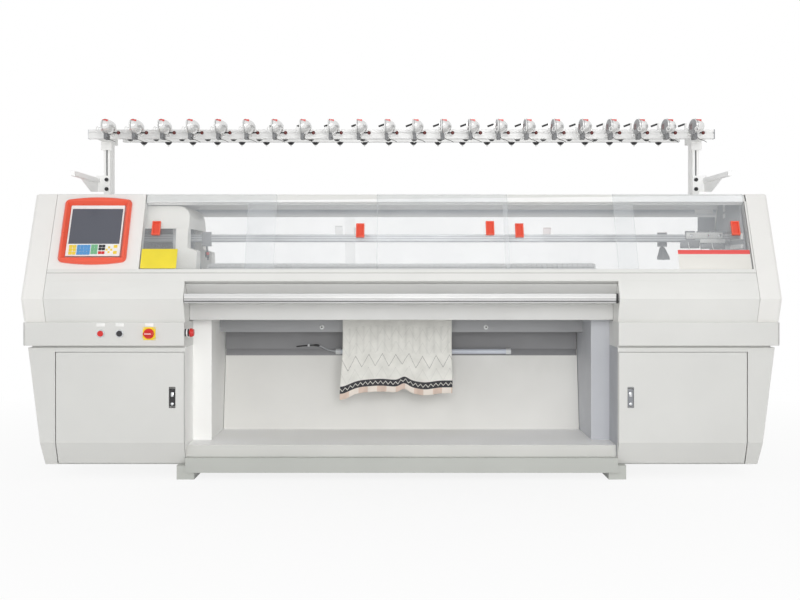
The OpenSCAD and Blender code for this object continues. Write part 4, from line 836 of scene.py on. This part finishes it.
# Studio: a pale floor that fades to white, three soft lamps in front and a pale sky. The camera faces
# the front from five metres off.
camera = bpy.data.objects.new("camera", bpy.data.cameras.new("camera"))
bpy.context.scene.collection.objects.link(camera)
camera.location = (-0.0066, -5.458, 0.960)
camera.rotation_euler = (math.radians(90 - 0.149), 0, 0)
camera.data.sensor_width = 36
camera.data.lens = 50
camera.data.shift_y = -0.0352
bpy.context.scene.camera = camera
bpy.context.scene.view_settings.view_transform = "Standard"

floor_mesh = bpy.data.meshes.new("floor")
floor_mesh.from_pydata([(-30, -30, 0), (30, -30, 0), (30, 30, 0), (-30, 30, 0)], [], [(0, 1, 2, 3)])
floor = bpy.data.objects.new("floor", floor_mesh)
bpy.context.scene.collection.objects.link(floor)


def seen_bright(tree):
    """1 for camera, glossy and transmission rays, else 0."""
    rays = tree.nodes.new("ShaderNodeLightPath")
    either = rays.outputs["Is Camera Ray"]
    for kind in ("Is Glossy Ray", "Is Transmission Ray"):
        either = calc(tree, "MAXIMUM", either, rays.outputs[kind])
    return either


pale_floor = bpy.data.materials.new("pale_floor")
pale_floor.use_nodes = True
tree = pale_floor.node_tree
shader = tree.nodes["Principled BSDF"]
shader.inputs["Base Color"].default_value = tint(236, 236, 235)
shader.inputs["Roughness"].default_value = 0.9
place = tree.nodes.new("ShaderNodeTexCoord").outputs["Object"]
reach = tree.nodes.new("ShaderNodeVectorMath")
reach.operation = "LENGTH"
tree.links.new(place, reach.inputs[0])
fade = tree.nodes.new("ShaderNodeMapRange")
fade.inputs["From Min"].default_value = 0.5
fade.inputs["From Max"].default_value = 4.0
fade.inputs["To Min"].default_value = 0.85
fade.inputs["To Max"].default_value = 1.0
tree.links.new(reach.outputs["Value"], fade.inputs["Value"])
glow = tree.nodes.new("ShaderNodeEmission")
mix = tree.nodes.new("ShaderNodeMixShader")
tree.links.new(calc(tree, "MULTIPLY", seen_bright(tree), fade.outputs["Result"]), mix.inputs["Fac"])
tree.links.new(shader.outputs[0], mix.inputs[1])
tree.links.new(glow.outputs[0], mix.inputs[2])
tree.links.new(mix.outputs[0], tree.nodes["Material Output"].inputs["Surface"])
floor_mesh.materials.append(pale_floor)

world = bpy.data.worlds.new("studio")
bpy.context.scene.world = world
world.use_nodes = True
tree = world.node_tree
tree.nodes.clear()
sky = tree.nodes.new("ShaderNodeBackground")
sky.inputs["Strength"].default_value = 0.5
bright = tree.nodes.new("ShaderNodeBackground")
bright.inputs["Strength"].default_value = 1.0
for lamp in (sky, bright):
    lamp.inputs["Color"].default_value = (1, 1, 1, 1)
mix = tree.nodes.new("ShaderNodeMixShader")
tree.links.new(seen_bright(tree), mix.inputs["Fac"])
tree.links.new(sky.outputs[0], mix.inputs[1])
tree.links.new(bright.outputs[0], mix.inputs[2])
output = tree.nodes.new("ShaderNodeOutputWorld")
tree.links.new(mix.outputs[0], output.inputs["Surface"])

for name, spot, aim, size, watts in (
    ("key", (3.2, -5.0, 4.2), (0, 0, 0.8), 3.0, 32),
    ("fill", (-4.5, -4.5, 2.5), (0, 0, 0.8), 3.0, 36),
    ("front", (0.4, -5.6, 1.6), (0, 0, 1.0), 2.5, 104),
):
    lamp = bpy.data.objects.new(name, bpy.data.lights.new(name, "AREA"))
    bpy.context.scene.collection.objects.link(lamp)
    lamp.data.size = size
    lamp.data.energy = watts
    lamp.location = spot
    away = np.array(spot) - np.array(aim)
    flat = math.hypot(away[0], away[1])
    lamp.rotation_euler = (math.atan2(flat, away[2]), 0, math.atan2(away[0], -away[1]))
